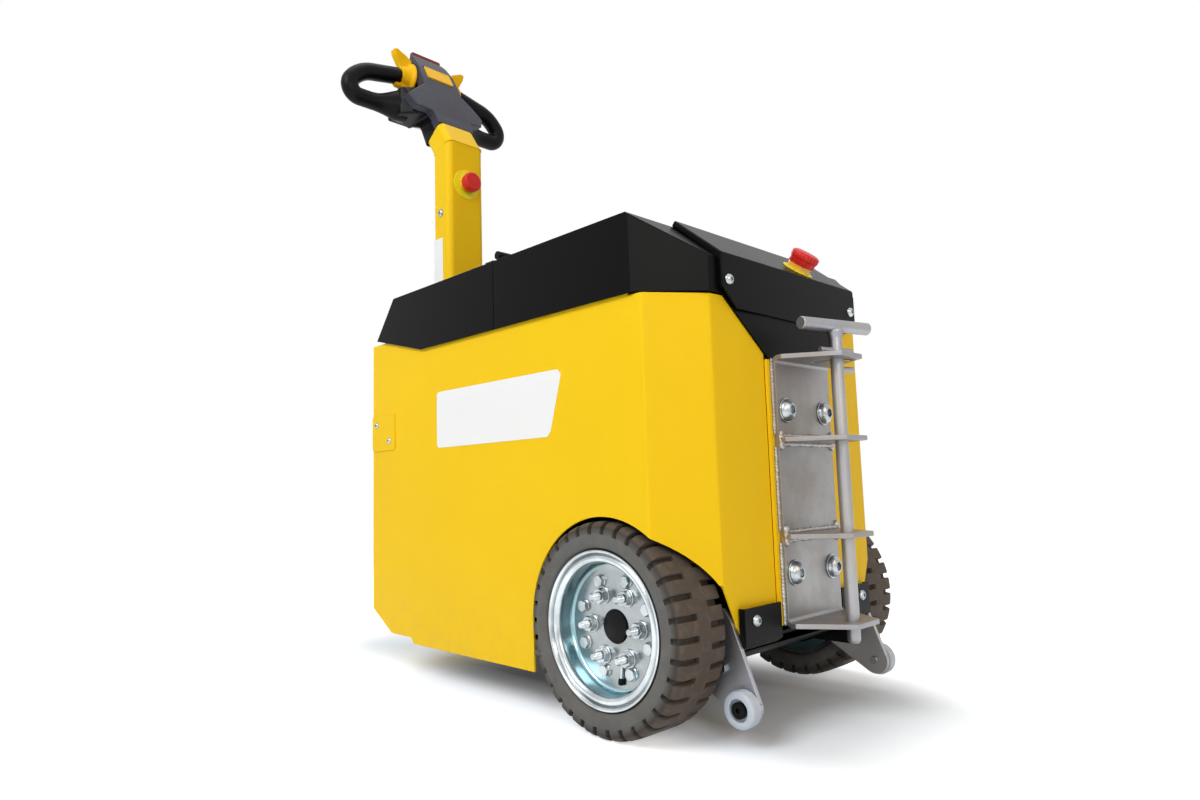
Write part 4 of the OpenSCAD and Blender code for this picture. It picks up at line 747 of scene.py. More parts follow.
# Mouldings by slot: material, colour, grain per metre, its depth, roughness, coat, specular level
MOULDINGS = {
    "grey_shell": ("grey_shell_plastic", "shell", 1500.0, 0.00004, 0.46, 0.0, 0.22),
    "black_plastic": ("black_grained_plastic", "plastic", 1300.0, 0.00005, 0.36, 0.0, 0.12),
    "yellow_plastic": ("yellow_plastic", "paddle", 1800.0, 0.00002, 0.38, 0.0, 0.1),
    "red_plastic": ("red_plastic", "stop", 1500.0, 0.000008, 0.36, 0.0, 0.3),
    "amber_plastic": ("amber_plastic", "collar", 900.0, 0.00002, 0.3, 0.3, 0.5),
    "dark_red_plastic": ("dark_red_plastic", "belly", 1500.0, 0.00003, 0.36, 0.0, 0.5),
    "legend": ("legend_disc", "legend", 900.0, 0.00001, 0.42, 0.0, 0.5),
    "castor_rubber": ("castor_rubber", "castor", 900.0, 0.00005, 0.6, 0.0, 0.5),
    "battery_case": ("battery_case", "battery", 300.0, 0.00006, 0.5, 0.0, 0.5),
}

# Steel finishes by slot: material, share of the plate's brightness, strength of the patches
STEELS = {
    "steel_plate": ("rolled_steel_plate", 1.0, 0.8),
    "drawn_bar": ("drawn_steel_bar", 1.15, 0.3),
    # The roller arms' steel is made brighter than the hitch's, as painted light on arms that stand in shade
    "arm_plate": ("roller_arm_plate", 1.35, 0.3),
    "weld_metal": ("weld_bead", 1.2, 0.9),
}

OTHER_FINISHES = {
    "zinc": zinc, "rim": rim, "tyre_rubber": tyre_rubber, "roller_nylon": roller_nylon,
    "cast_alloy": cast_alloy, "label_white": label_white,
}
MADE = {}


def finish_of(slot_name):
    """The material of a slot or look, made once."""
    colours = bpy.context.scene.tug_colours
    if slot_name in MADE:
        return MADE[slot_name]
    for table, make in ((POWDER_COATS, powder_coat), (MOULDINGS, moulded)):
        if slot_name in table:
            name, colour, *numbers = table[slot_name]
            MADE[slot_name] = make(name, getattr(colours, colour), *numbers)
            return MADE[slot_name]
    if slot_name in STEELS:
        MADE[slot_name] = steel_plate(colours, *STEELS[slot_name])
    else:
        MADE[slot_name] = OTHER_FINISHES[slot_name](colours)
    return MADE[slot_name]


def hand_over(piece, body, slot_name, *nodes, look=None):
    """Gives a piece the finish of its slot or look and its body, and hides the frame nodes that it stands
    for.
    """
    piece.data.materials.clear()
    piece.data.materials.append(finish_of(look or slot_name))
    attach(piece, body)
    if nodes:
        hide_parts(*nodes)
    return piece


def body_of_node(node):
    for body, members in frame["record"]["behaviour"]["bodies"].items():
        if node in members:
            return body
    raise RuntimeError("no body holds " + node)


def copied(node, name):
    """A merged copy of a frame node's mesh, with its flat faces made whole again."""
    source = frame["nodes"][node]
    piece = bpy.data.objects.new(name, source.data.copy())
    bpy.context.scene.collection.objects.link(piece)
    edit(piece)
    select_all()
    bpy.ops.mesh.remove_doubles(threshold=FRAME_MERGE)
    bpy.ops.mesh.dissolve_limited(angle_limit=FLAT_SEAM)
    leave()
    return piece


def is_fold(edge):
    """A folded corner lies between two faces that are both wider than the sheet is thick."""
    if len(edge.link_faces) != 2:
        return False
    long = edge.calc_length()
    if long < FOLD_LENGTH:
        return False
    bend = edge.calc_face_angle(0.0)
    narrow = min(face.calc_area() / long for face in edge.link_faces)
    return FOLD_BENDS[0] < bend < FOLD_BENDS[1] and narrow > FOLD_FACE


def dressed(node, slot_name, width, fold=0.0, look=None):
    """A frame node with its folds and edges rounded as on the real plate, as far as it stays in its box."""
    low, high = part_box(node)
    for fold_now, held in ((fold, False), (fold, True), (0.0, True)):
        piece = copied(node, node + "_dressed")
        if fold_now:
            edit(piece)
            if pick(piece, "EDGE", is_fold):
                bpy.ops.mesh.bevel(offset=fold_now, segments=4, affect="EDGES", clamp_overlap=held)
            leave()
        if stays_inside(piece, low, high):
            round_edges(piece, width, held=held)
            if stays_inside(piece, low, high):
                break
        if held and not fold_now:
            raise RuntimeError("the rounded " + node + " leaves its box")
        drop(piece)
    smooth(piece)
    return hand_over(piece, body_of_node(node), slot_name, node, look=look)


def lofted(name, sections, corners):
    """A tube through sections of (x, y, z, heading in degrees, half width, half height)."""
    start_fresh()
    bpy.ops.mesh.primitive_circle_add(vertices=corners, radius=MM)
    piece = named(name)
    edit(piece)
    select_all()
    bpy.ops.mesh.delete(type="VERT")
    for x, y, z, heading, wide, high in sections:
        bpy.ops.mesh.select_all(action="DESELECT")
        bpy.ops.mesh.primitive_circle_add(
            vertices=corners, radius=wide * MM, location=at(x, y, z),
            rotation=(math.radians(heading - 90), 0, 0),
        )
        if high != wide:
            bpy.ops.transform.resize(value=(1, 1, high / wide), center_override=at(x, y, z))
    for i in range(len(sections) - 1):
        pick(piece, "VERT", lambda v: i * corners <= v.index < (i + 2) * corners)
        bpy.ops.mesh.bridge_edge_loops(type="SINGLE")
    for i in (0, len(sections) - 1):
        pick(piece, "VERT", lambda v: i * corners <= v.index < (i + 1) * corners)
        bpy.ops.mesh.edge_face_add()
    return closed(piece)


def prism(name, outline, half):
    """A bar of any outline in x and z, across the part."""
    start_fresh()
    bpy.ops.mesh.primitive_circle_add(vertices=len(outline), radius=MM, fill_type="NGON")
    piece = named(name)
    for vertex, (x, z) in zip(piece.data.vertices, outline):
        vertex.co = at(x, -half, z)
    edit(piece)
    select_all()
    bpy.ops.mesh.extrude_region_move(TRANSFORM_OT_translate={"value": (0, 2 * half * MM, 0)})
    return closed(piece)


def softened(node, name, voxel, rounds, added=None, removed=None):
    """A moulded form: a frame node meshed finely and relaxed until its edges are soft."""
    piece = copied(node, name)
    if removed:
        cut(piece, removed)
    if added:
        piece = joined([piece, added], name)
    finish_modifier(piece, "REMESH", mode="VOXEL", voxel_size=voxel, use_smooth_shade=True)
    finish_modifier(piece, "SMOOTH", factor=0.5, iterations=rounds)
    return piece


def op_done():
    start_fresh()
    return {"FINISHED"}


class TUG_OT_stage(bpy.types.Operator):
    """Pale floor, plain soft light and the camera at the picture's angle"""

    bl_idname = "tug.stage"
    bl_label = "Stage"

    def execute(self, context):
        start_fresh()
        bpy.ops.mesh.primitive_plane_add(size=60, location=(0, 0, 0))
        floor = named("pale_floor")
        ground = Finish("pale_floor")
        x, y = ground.parts()[:2]
        away = ground.fade((x * x + y * y).root() / FLOOR_REACH, *FLOOR_FADE)
        grain = ground.noise(3.0, 3.0)
        shade = ground.mix(grain, (0.84, 0.905, 0.98), (0.86, 0.925, 1.0))
        matt = ground.add("BsdfDiffuse", values={"Color": shade})
        seen = ground.seen()
        # The floor's glow is lowest next to the body and rises with the distance from it, a painted shadow
        beside = ground.maths("MAXIMUM", (x * x).root() - SHADE_HALVES[0], 0.0)
        before = ground.maths("MAXIMUM", (y * y).root() - SHADE_HALVES[1], 0.0)
        clear = (beside * beside * 0.3 + before * before).root()
        painted_shadow_lift = ground.steps(clear / SHADE_REACH, *SHADE_STEPS)
        glow = ground.add("Emission", values={"Color": (1, 1, 1), "Strength": seen * painted_shadow_lift})
        near = ground.add("AddShader", values={0: matt, 1: glow})
        far = ground.add("Emission", values={"Color": (1, 1, 1), "Strength": 1.0})
        both = ground.add("MixShader", values={0: away * seen, 1: near, 2: far})
        ground.add("OutputMaterial", values={"Surface": both})
        floor.data.materials.append(ground.material)

        sky = Finish("studio", bpy.data.worlds)
        strength = sky.seen() * SKY_SEEN + SKY_LIGHT
        light = sky.add("Background", values={"Color": (1, 1, 1), "Strength": strength})
        sky.add("OutputWorld", values={"Surface": light})
        context.scene.world = sky.material

        for name, settings in LAMPS.items():
            self.lamp(name, *settings)
        self.camera(context)
        context.scene.view_settings.view_transform = "Standard"
        return op_done()

    def lamp(self, name, place, target, size, power, colour):
        bpy.ops.object.light_add(type="AREA", location=place)
        lamp = named(name)
        lamp.rotation_euler = (Vector(target) - Vector(place)).to_track_quat("-Z", "Y").to_euler()
        lamp.data.shape = "SQUARE"
        lamp.data.size = size
        lamp.data.energy = power
        lamp.data.color = colour

    def camera(self, context):
        yaw, pitch, roll = (math.radians(turn) for turn in CAMERA_TURNS)
        ahead = Vector((-math.sin(yaw) * math.cos(pitch), math.cos(yaw) * math.cos(pitch), math.sin(pitch)))
        right = Vector((math.cos(yaw), math.sin(yaw), 0))
        above = right.cross(ahead)
        tilted = right * math.cos(roll) + above * math.sin(roll)
        upright = above * math.cos(roll) - right * math.sin(roll)
        bpy.ops.object.camera_add(location=(0, 0, 0))
        camera = named("picture_camera")
        matrix = Matrix((tilted, upright, -ahead)).transposed().to_4x4()
        camera.matrix_world = Matrix.Translation(at(*CAMERA_PLACE)) @ matrix
        camera.data.lens = CAMERA_LENS
        camera.data.sensor_width = CAMERA_SENSOR
        camera.data.shift_x, camera.data.shift_y = CAMERA_SHIFT
        camera.data.clip_start = 0.02
        context.scene.camera = camera


class TUG_OT_body(bpy.types.Operator):
    """Yellow sheets, front and rear plates and the black cover, with rounded folds"""

    bl_idname = "tug.body"
    bl_label = "Body and cover"

    def execute(self, context):
        sizes = context.scene.tug_sizes
        bend = sizes.bend_offset
        for slot_name, fold, nodes in (
            ("yellow_paint", bend, ("side_panel_left", "side_panel_right", "front_plate", "rear_panel")),
            ("yellow_paint", 0.0, ("access_plates",)),
            ("black_cover", bend * 0.8, ("front_hood", "battery_lid", "hood_panel")),
            ("black_paint", 0.0, ("lid_hinge_fixed", "lid_hinge_moving", "lower_tabs")),
            ("black_paint", bend, ("belly_tray",)),
        ):
            for node in nodes:
                dressed(node, slot_name, sizes.sheet_edge, fold)
        dressed("label_plates", "label_white", sizes.sheet_edge * 0.3)
        return op_done()


class TUG_OT_column(bpy.types.Operator):
    """Tiller column with its bracket and post"""

    bl_idname = "tug.column"
    bl_label = "Tiller column"

    def execute(self, context):
        sizes = context.scene.tug_sizes
        dressed("tiller_column", "yellow_paint", sizes.sheet_edge)
        dressed("tiller_bracket", "black_paint", sizes.plate_edge)
        return op_done()


class TUG_OT_hitch(bpy.types.Operator):
    """Hitch bracket, its middle plates, welds, button screws and the roller arms"""

    bl_idname = "tug.hitch"
    bl_label = "Hitch"

    def execute(self, context):
        sizes = context.scene.tug_sizes
        for node in ("hitch_bracket", "hitch_mid_plates"):
            dressed(node, "steel_plate", sizes.plate_edge)
        # The roller arms get a brighter copy of the plate steel: painted light
        dressed("roller_arms", "steel_plate", sizes.plate_edge, look="arm_plate")
        self.welds(sizes.bead_length)
        self.screws()
        return op_done()

    def welds(self, pitch):
        rng = random.Random(4)
        start_fresh()
        bpy.ops.mesh.primitive_uv_sphere_add(segments=12, ring_count=6, radius=pitch * 0.62)
        ripple = bpy.context.object
        edit(ripple)
        select_all()
        bpy.ops.transform.resize(value=(0.75, 1.0, 0.62))
        leave()
        runs = []
        for z in MIDDLE_PLATES_Z:
            for edge in (z - 1.6, z + 7.6):
                runs.append((WELD_X, -58, edge, WELD_X, 58, edge, 1.25))
            for side in (-1, 1):
                runs.append((WELD_X - 0.1, side * 60.5, z - 4, WELD_X - 0.1, side * 60.5, z + 10, 1.7))
        for side in (-1, 1):
            for low, high in ((122, 214), (234, 330), (350, 440)):
                runs.append((135.6, side * 64.6, low, 135.6, side * 64.6, high, 1.0))
        beads = []
        for *ends, bulk in runs:
            start, end = at(*ends[:3]), at(*ends[3:])
            count = int((end - start).length / (pitch * 0.7))
            along = (end - start).normalized()
            level = along.to_track_quat("Y", "X").to_matrix().to_4x4()
            for i in range(count + 1):
                place = start.lerp(end, i / count)
                size = bulk * (0.8 + 0.35 * rng.random())
                turn = level @ Matrix.Rotation(rng.random() - 0.5, 4, "Y")
                grown = Matrix.Diagonal((size, size, size, 1))
                beads.append(twin(ripple, "ripple", Matrix.Translation(place) @ turn @ grown))
        drop(ripple)
        piece = smooth(joined(beads, "hitch_welds"), 180, False)
        hand_over(piece, "chassis", "steel_plate", look="weld_metal")

    def screws(self):
        screw = socket_screw("button_screw", 14, 8.2, 5.8, domed=True)
        washer = turned("button_washer", ring([
            (7, 0), (15, 0), (15.5, 0.4), (15.5, 1.6), (15, 2), (7, 2),
        ]), 48)
        settle(screw, Matrix.Translation((0, 0, 2 * MM)))
        shank = turned("button_shank", [(0, -44), (6.8, -44), (7.8, -43), (7.8, 1), (0, 1)], 32)
        nut = hex_head("button_nut", 13.8, -36, -24.2)
        head = joined([screw, washer, shank, nut], "button_set")
        round_edges(head, 0.3 * MM, 2, 35)
        copies = []
        for side in (-1, 1):
            for z in HITCH_SCREWS_Z:
                place = at(HITCH_SCREWS_X, side * HITCH_SCREWS_Y, z)
                copies.append(twin(head, "set", facing((1, 0, 0), place, 0.3 + z + side)))
        drop(head)
        hand_over(smooth(joined(copies, "hitch_button_screws"), 34), "chassis", "zinc", "hitch_bolts")


class TUG_OT_pin(bpy.types.Operator):
    """Tow pin with its T bar and cross pegs"""

    bl_idname = "tug.pin"
    bl_label = "Tow pin"

    def execute(self, context):
        rod = turned("tow_pin_rod", [
            (0, 95), (5.4, 95), (7.2, 97.2), (8, 100), (8, 470), (8, 482), (0, 482),
        ], 40)
        bar = turned("tow_pin_bar", [
            (0, -57.5), (7, -57.5), (8, -56.4), (8, 56.4), (7, 57.5), (0, 57.5),
        ], 40)
        heading = math.radians(75)
        direction = (math.cos(heading), math.sin(heading), 0)
        parts = [rod, settle(bar, facing(direction, (0, 0, 482 * MM)))]
        parts.append(turned("tow_pin_weld", [
            (7.9, 466), (9.2, 470.6), (10, 473.6), (9.8, 476), (8.4, 478.6), (7.9, 479.6),
        ], 40))
        upper = turned("peg", [(0, -27), (3.4, -27), (4, -26.3), (4, 26.3), (3.4, 27), (0, 27)], 28)
        parts.append(settle(upper, facing(direction, (0, 0, 450.4 * MM))))
        lower = turned("peg", [(0, 0), (4, 0), (4, 26.3), (3.4, 27), (0, 27)], 28)
        parts.append(settle(lower, facing(direction, (0, 0, 427 * MM))))
        piece = joined(parts, "tow_pin")
        settle(piece, Matrix.Translation(at(PIN_X, 0, 0)))
        hand_over(smooth(piece, 34), "pin", "steel_plate", "hitch_pin", look="drawn_bar")
        return op_done()


class TUG_OT_tyres(bpy.types.Operator):
    """Solid tyres with two staggered rows of lugs"""

    bl_idname = "tug.tyres"
    bl_label = "Tyres"

    def execute(self, context):
        sizes = context.scene.tug_sizes
        steps = sizes.lug_count * LUG_STEPS
        half = [
            (79.8, 33.1), (93, 33.1), (93.6, 37), (94.2, 39.4), (95.6, 40.8), (97.6, 41.8), (101, 42.3),
            (104, 42.5), (110.6, 42.5), (111.2, 42.1), (112, 42.1), (112.7, 42.5), (115.2, 42.2),
            (118, 41.2), (121, 39.2), (123.2, 36.4), (124.5, 32.5), (124.9, 27), (125, 18), (125, 10.5),
        ]
        outline = half + [(r, -y) for r, y in reversed(half)]
        tyre = turned("tyre_blank", ring(outline), steps)

        def in_groove(face, side, columns):
            turn, radius, height = around(face)
            beyond = radius > GROOVE_RADIUS and side * height > RIB_HALF
            return beyond and int(turn * steps) % LUG_STEPS in columns

        edit(tyre)
        for side, columns in ((1, (0, 1, 2)), (-1, (5, 6, 7))):
            if not pick(tyre, "FACE", lambda face: in_groove(face, side, columns)):
                raise RuntimeError("no groove faces were found on the tyre")
            extrude()
            bpy.ops.transform.shrink_fatten(value=-sizes.lug_depth)
        leave()
        round_edges(tyre, sizes.lug_round, 2, 38)
        smooth(tyre, 40, False)
        for side, name in SIDES:
            place = sideways(side, 0, TYRE_Y, TYRE_RADIUS, -3 * math.pi / steps)
            piece = twin(tyre, "tyre_" + name + "_lugged", place)
            hand_over(piece, "wheel_" + name, "tyre_rubber", "tyre_" + name)
        drop(tyre)
        return op_done()


class TUG_OT_rims(bpy.types.Operator):
    """Plated rims with a rolled lip, a recessed ring, a deep barrel and the bolted disc"""

    bl_idname = "tug.rims"
    bl_label = "Rims"

    def execute(self, context):
        barrel = turned("rim_barrel", ring([
            (76, 163.5), (76, 232), (76.2, 235), (77, 237.8), (78.6, 239.6), (80.6, 240.4), (83, 240.4),
            (84.6, 239.8), (85.6, 238.6), (86.4, 238.4), (87.2, 239.2),
            (88, 241.2), (89, 242.3), (90.2, 242.6),
            (91.4, 242.2), (91.8, 241.2), (91.6, 239.9), (90.6, 239.2),
            (89.6, 238.4), (89.2, 236.6), (84, 236.4),
            (79.5, 234), (79.5, 170), (88.6, 169.5), (88.6, 163.5),
        ]), 128)
        disc = turned("rim_disc", ring([
            (20, 211), (20, 214.6), (20.4, 215), (52, 215),
            (64, 215), (71.2, 215.1), (73.4, 215.8), (75, 217.4),
            (76.1, 219.8), (77.6, 219.8), (77.6, 207), (51, 207), (51, 211),
        ]), 128)
        valve = turned("valve", [(0, 0), (2.2, 0), (2.2, 26), (0, 26)], 16)
        valve_cap = turned("valve_cap", [
            (0, -5), (2.6, -5), (3.6, -4), (3.8, -1), (3.4, 2), (2.4, 3), (0, 3),
        ], 20)
        for side, name in SIDES:
            axle = sideways(side, 0, 0, TYRE_RADIUS)
            parts = [twin(source, "part", axle) for source in (barrel, disc)]
            piece = smooth(joined(parts, "rim_" + name + "_rolled"), 40)
            hand_over(piece, "wheel_" + name, "zinc", "rim_" + name, look="rim")
            x, y, z = VALVE_PLACE
            place = Matrix.Translation(at(x, side * y, z)) @ Matrix.Rotation(0.12, 4, "Y")
            rod = twin(valve, "rim_rod_" + name, place)
            hand_over(smooth(rod), "wheel_" + name, "zinc")
            cap = twin(valve_cap, "rim_rod_cap_" + name, place)
            hand_over(smooth(cap), "wheel_" + name, "black_plastic")
        drop(barrel, disc, valve, valve_cap)
        return op_done()


class TUG_OT_wheel_bolts(bpy.types.Operator):
    """Studs with nuts and washers, hexagon screws, hubs and their caps"""

    bl_idname = "tug.wheel_bolts"
    bl_label = "Wheel fasteners"

    def execute(self, context):
        pitch = context.scene.tug_sizes.thread_pitch / MM
        outline = [(0, 211), (4.3, 211)]
        along = 212.0
        while along + pitch < 235:
            outline += [(4.35, along), (5.0, along + pitch / 2)]
            along += pitch
        outline += [(4.3, along), (4.2, 235), (3.4, 236), (0, 236)]
        stud = turned("stud", outline, 24)
        nut = hex_head("stud_nut", 9.6, 217, 224.4)
        washer = turned("stud_washer", ring([
            (5, 215), (10.6, 215), (11, 215.3), (11, 216.7), (10.6, 217), (5, 217),
        ]), 40)
        spring = turned("stud_spring", ring([(5, 216.9), (8.6, 216.9), (8.8, 217.6), (5, 217.8)]), 32)
        stud_set = joined([stud, nut, washer, spring], "stud_set")
        screw = hex_head("rim_screw", 7.5, 215.6, 220.5, 0.5)
        flange = turned("rim_screw_flange", ring([
            (3, 214.9), (8.2, 214.9), (8.4, 215.3), (7.6, 216), (3, 216),
        ]), 32)
        screw_set = joined([screw, flange], "screw_set")
        hub = turned("hub", [
            (0, 101), (14, 101), (15, 102), (15, 153), (33, 153), (34, 154), (34, 203), (49.4, 203),
            (50, 203.6), (50, 210.8), (18, 211), (17, 216), (0, 216),
        ], 64)
        cap = turned("hub_cap", [
            (0, 212), (19.3, 212), (19.4, 216.2), (19, 217),
            (16.6, 217.9), (12, 218.8), (6, 219.6), (0, 219.9),
        ], 64)
        for side, name in SIDES:
            copies = []
            for source, radius, count, first in ((stud_set, 40, 6, 0), (screw_set, 57, 8, 20)):
                for i in range(count):
                    turn = math.radians(first + i * 360 / count)
                    x, z = radius * math.cos(turn), TYRE_RADIUS - radius * math.sin(turn)
                    copies.append(twin(source, "set", sideways(side, x, 0, z, 0.4 + i * 0.7)))
            piece = smooth(joined(copies, "wheel_fasteners_" + name + "_set"), 34)
            hand_over(piece, "wheel_" + name, "zinc", "wheel_fasteners_" + name)
            axle = sideways(side, 0, 0, TYRE_RADIUS)
            piece = smooth(twin(hub, "hub_" + name, axle))
            hand_over(piece, "wheel_" + name, "cast_alloy", "wheel_hub_" + name)
            piece = smooth(twin(cap, "hub_cap_" + name, axle), 40)
            hand_over(piece, "wheel_" + name, "black_plastic")
        drop(stud_set, screw_set, hub, cap)
        return op_done()


class TUG_OT_rollers(bpy.types.Operator):
    """Nylon guide rollers with their shoulder screws, and the castor wheel"""

    bl_idname = "tug.rollers"
    bl_label = "Rollers and castor"

    def execute(self, context):
        roller = turned("roller_blank", ring([
            (5.05, 154), (18.4, 154), (20, 154.8), (20.6, 156.4),
            (20.6, 166.4), (20.1, 168.4), (18.8, 169.6),
            (17, 170), (13.4, 170), (12.4, 169.6), (12, 168.6), (12, 164.5), (5.05, 164.5),
        ]), 72)
        round_edges(roller, 0.3 * MM, 2, 50)
        axle = turned("axle_blank", [(0, 153.6), (5, 153.6), (5, 164.9), (0, 164.9)], 32)
        head = socket_screw("axle_head", 9, 5.4, 2.9)
        settle(head, Matrix.Translation((0, 0, 165 * MM)))
        axle = joined([axle, head], "axle_set")
        ends, shanks = [], []
        shank = turned("shank_blank", [(0, 144.3), (4.6, 144.3), (5.1, 144.8), (5.1, 153.6), (0, 153.6)], 32)
        for side, name in SIDES:
            spot = sideways(side, ROLLER_X, 0, ROLLER_Z)
            shanks.append(twin(shank, "shank", spot))
            piece = twin(roller, "roller_" + name + "_moulded", spot)
            hand_over(smooth(piece, 40), "guide_roller_" + name, "roller_nylon", "roller_" + name)
            ends.append(twin(axle, "axle", spot))
        pair = joined(ends, "roller_shoulder_screws")
        round_edges(pair, 0.3 * MM, 2, 40)
        hand_over(smooth(pair), "chassis", "black_paint", "roller_axles")
        hand_over(smooth(joined(shanks, "roller_screw_shanks")), "chassis", "steel_plate")
        wheel = turned("castor_tread", ring([
            (6.1, -15), (12, -15), (13, -11), (28, -11), (29, -15),
            (36, -16), (38.8, -14), (40, -10), (40, 10),
            (38.8, 14), (36, 16), (29, 15), (28, 11), (13, 11), (12, 15), (6.1, 15),
        ]), 72)
        settle(wheel, sideways(1, CASTOR_X, 0, CASTOR_Z))
        hand_over(smooth(wheel, 40), "castor_roll", "castor_rubber", "castor_wheel")
        dressed("castor_fork", "zinc", 0.6 * MM)
        dressed("castor_plate", "zinc", 0.6 * MM)
        drop(roller, axle, shank)
        return op_done()


class TUG_OT_small_screws(bpy.types.Operator):
    """Screws of the sheets, the tabs, the arms and the column"""

    bl_idname = "tug.small_screws"
    bl_label = "Small screws"

    def execute(self, context):
        button = socket_screw("sheet_button", 7, 4.4, 2.9, domed=True)
        small = socket_screw("plate_button", 5, 3, 2, domed=True)
        shank = turned("sheet_shank", [(0, -24), (3.4, -24), (4, -23.2), (4, 0), (0, 0)], 24)
        sheet_screw = joined([button, shank], "sheet_screw")
        copies = []
        for side in (-1, 1):
            copies.append(twin(sheet_screw, "s", facing((1, 0, 0), at(136, side * 145, 529), 0.4)))
            copies.append(twin(sheet_screw, "s", facing((1, 0, 0), at(137, side * 125, 133), 0.9)))
            for x, z in ((-526.6, 403), (-486, 375.5)):
                copies.append(twin(small, "s", sideways(side, x, 240, z, 0.3)))
        arm_head = hex_head("arm_head", 6.5, 0, 4)
        for side in (-1, 1):
            for x in (78, 108):
                copies.append(twin(arm_head, "s", sideways(side, x, 153.5, 82, x)))
        hand_over(smooth(joined(copies, "body_screw_heads")), "chassis", "zinc", "body_screws")
        washer = turned("sheet_washer", ring([(4, 0), (8.4, 0), (8.6, 0.2), (8.6, 0.8), (4, 0.9)]), 32)
        column = []
        for z, half in ((848, 43), (190, 45.5), (420, 45.5)):
            for side in (-1, 1):
                column.append(twin(sheet_screw, "s", sideways(side, COLUMN_X, half, z, 0.5)))
                column.append(twin(washer, "w", sideways(side, COLUMN_X, half, z)))
        hand_over(smooth(joined(column, "column_screw_heads")), "chassis", "zinc", "column_bolts")
        drop(small, sheet_screw, arm_head, washer)
        return op_done()


class TUG_OT_stops(bpy.types.Operator):
    """Emergency stops: legend disc, amber collar and ribbed red head"""

    bl_idname = "tug.stops"
    bl_label = "Emergency stops"

    def execute(self, context):
        steps = 96
        head = turned("stop_blank", [
            (0, -13.8), (4.6, -13.8), (5, -13.2), (5, 16.6),
            (17.3, 16.6), (17.3, 8.8), (17.9, 8.5), (18.2, 9),
            (18.4, 15.4), (18.9, 16.6), (19.5, 17.2), (19.8, 18.2),
            (19.8, 21.6), (19.5, 23.2), (18.6, 24.6),
            (17.2, 25.5), (15, 26.3), (13.6, 26.3), (12.8, 26.0), (9, 26.5), (4, 26.9), (0, 27),
        ], steps)

        def flute(face):
            turn, radius, height = around(face)
            beyond = radius > FLUTE_RADIUS and FLUTE_HEIGHTS[0] < height < FLUTE_HEIGHTS[1]
            return beyond and int(turn * steps) % FLUTE_STEPS == 0

        edit(head)
        if not pick(head, "FACE", flute):
            raise RuntimeError("no flute faces were found on the stop head")
        extrude()
        bpy.ops.transform.resize(value=(0.965, 0.965, 1), center_override=(0, 0, 0))
        leave()
        round_edges(head, 0.25 * MM, 2, 50)
        collar = turned("collar_blank", ring([
            (5.2, -8), (11, -8), (11, 1.4), (16.6, 1.5), (17, 1.9),
            (17, 4), (16.2, 4.6), (16.2, 5.6), (17, 6.2),
            (17, 11.4), (16.4, 12), (5.2, 12),
        ]), 72)
        start_fresh()
        bpy.ops.mesh.primitive_cube_add(size=30 * MM, location=(0, 0, -26 * MM))
        block = bpy.context.object
        edit(block)
        select_all()
        bpy.ops.transform.resize(value=(1, 1, 1.2), center_override=(0, 0, -26 * MM))
        pick(block, "FACE", lambda face: face.normal.z < -0.5)
        bpy.ops.mesh.inset(thickness=3 * MM, depth=0)
        extrude(3 * MM)
        leave()
        apply_place()
        round_edges(block, 0.8 * MM)
        panel_rise = PANEL_RISE / math.cos(HOOD_SLOPE)
        slope_z = HOOD_EDGE_Z - (FRONT_STOP_X - HOOD_EDGE_X) * math.tan(HOOD_SLOPE) + panel_rise
        front = Matrix.Translation(at(FRONT_STOP_X, FRONT_STOP_Y, slope_z))
        front = front @ Matrix.Rotation(HOOD_SLOPE, 4, "Y")
        tiller = Matrix.Translation(at(*TILLER_STOP)) @ Matrix.Rotation(math.pi / 2, 4, "Y")
        bases, blocks, discs = [], [], []
        for matrix, name, radius in ((front, "front_stop", 22), (tiller, "tiller_stop", 30)):
            piece = twin(head, name + "_red_head", matrix)
            hand_over(smooth(piece, 36, False), name, "red_plastic", name + "_head")
            bases.append(twin(collar, "collar", matrix))
            blocks.append(twin(block, "block", matrix))
            disc = turned("disc", ring([
                (11.2, 0), (radius - 0.3, 0), (radius, 0.3), (radius, 1.1), (radius - 0.4, 1.5),
                (radius - 2.4, 1.5), (radius - 2.8, 1.3), (17.8, 1.3), (17.4, 1.5), (11.2, 1.5),
            ]), 96)
            discs.append(settle(disc, matrix))
        hand_over(smooth(joined(bases, "stop_collars")), "chassis", "amber_plastic", "stop_bases")
        hand_over(smooth(joined(blocks, "stop_contact_blocks")), "chassis", "black_plastic")
        legends = smooth(joined(discs, "stop_blank_discs"))
        hand_over(legends, "chassis", "yellow_plastic", "stop_discs", look="legend")
        drop(head, collar, block)
        return op_done()


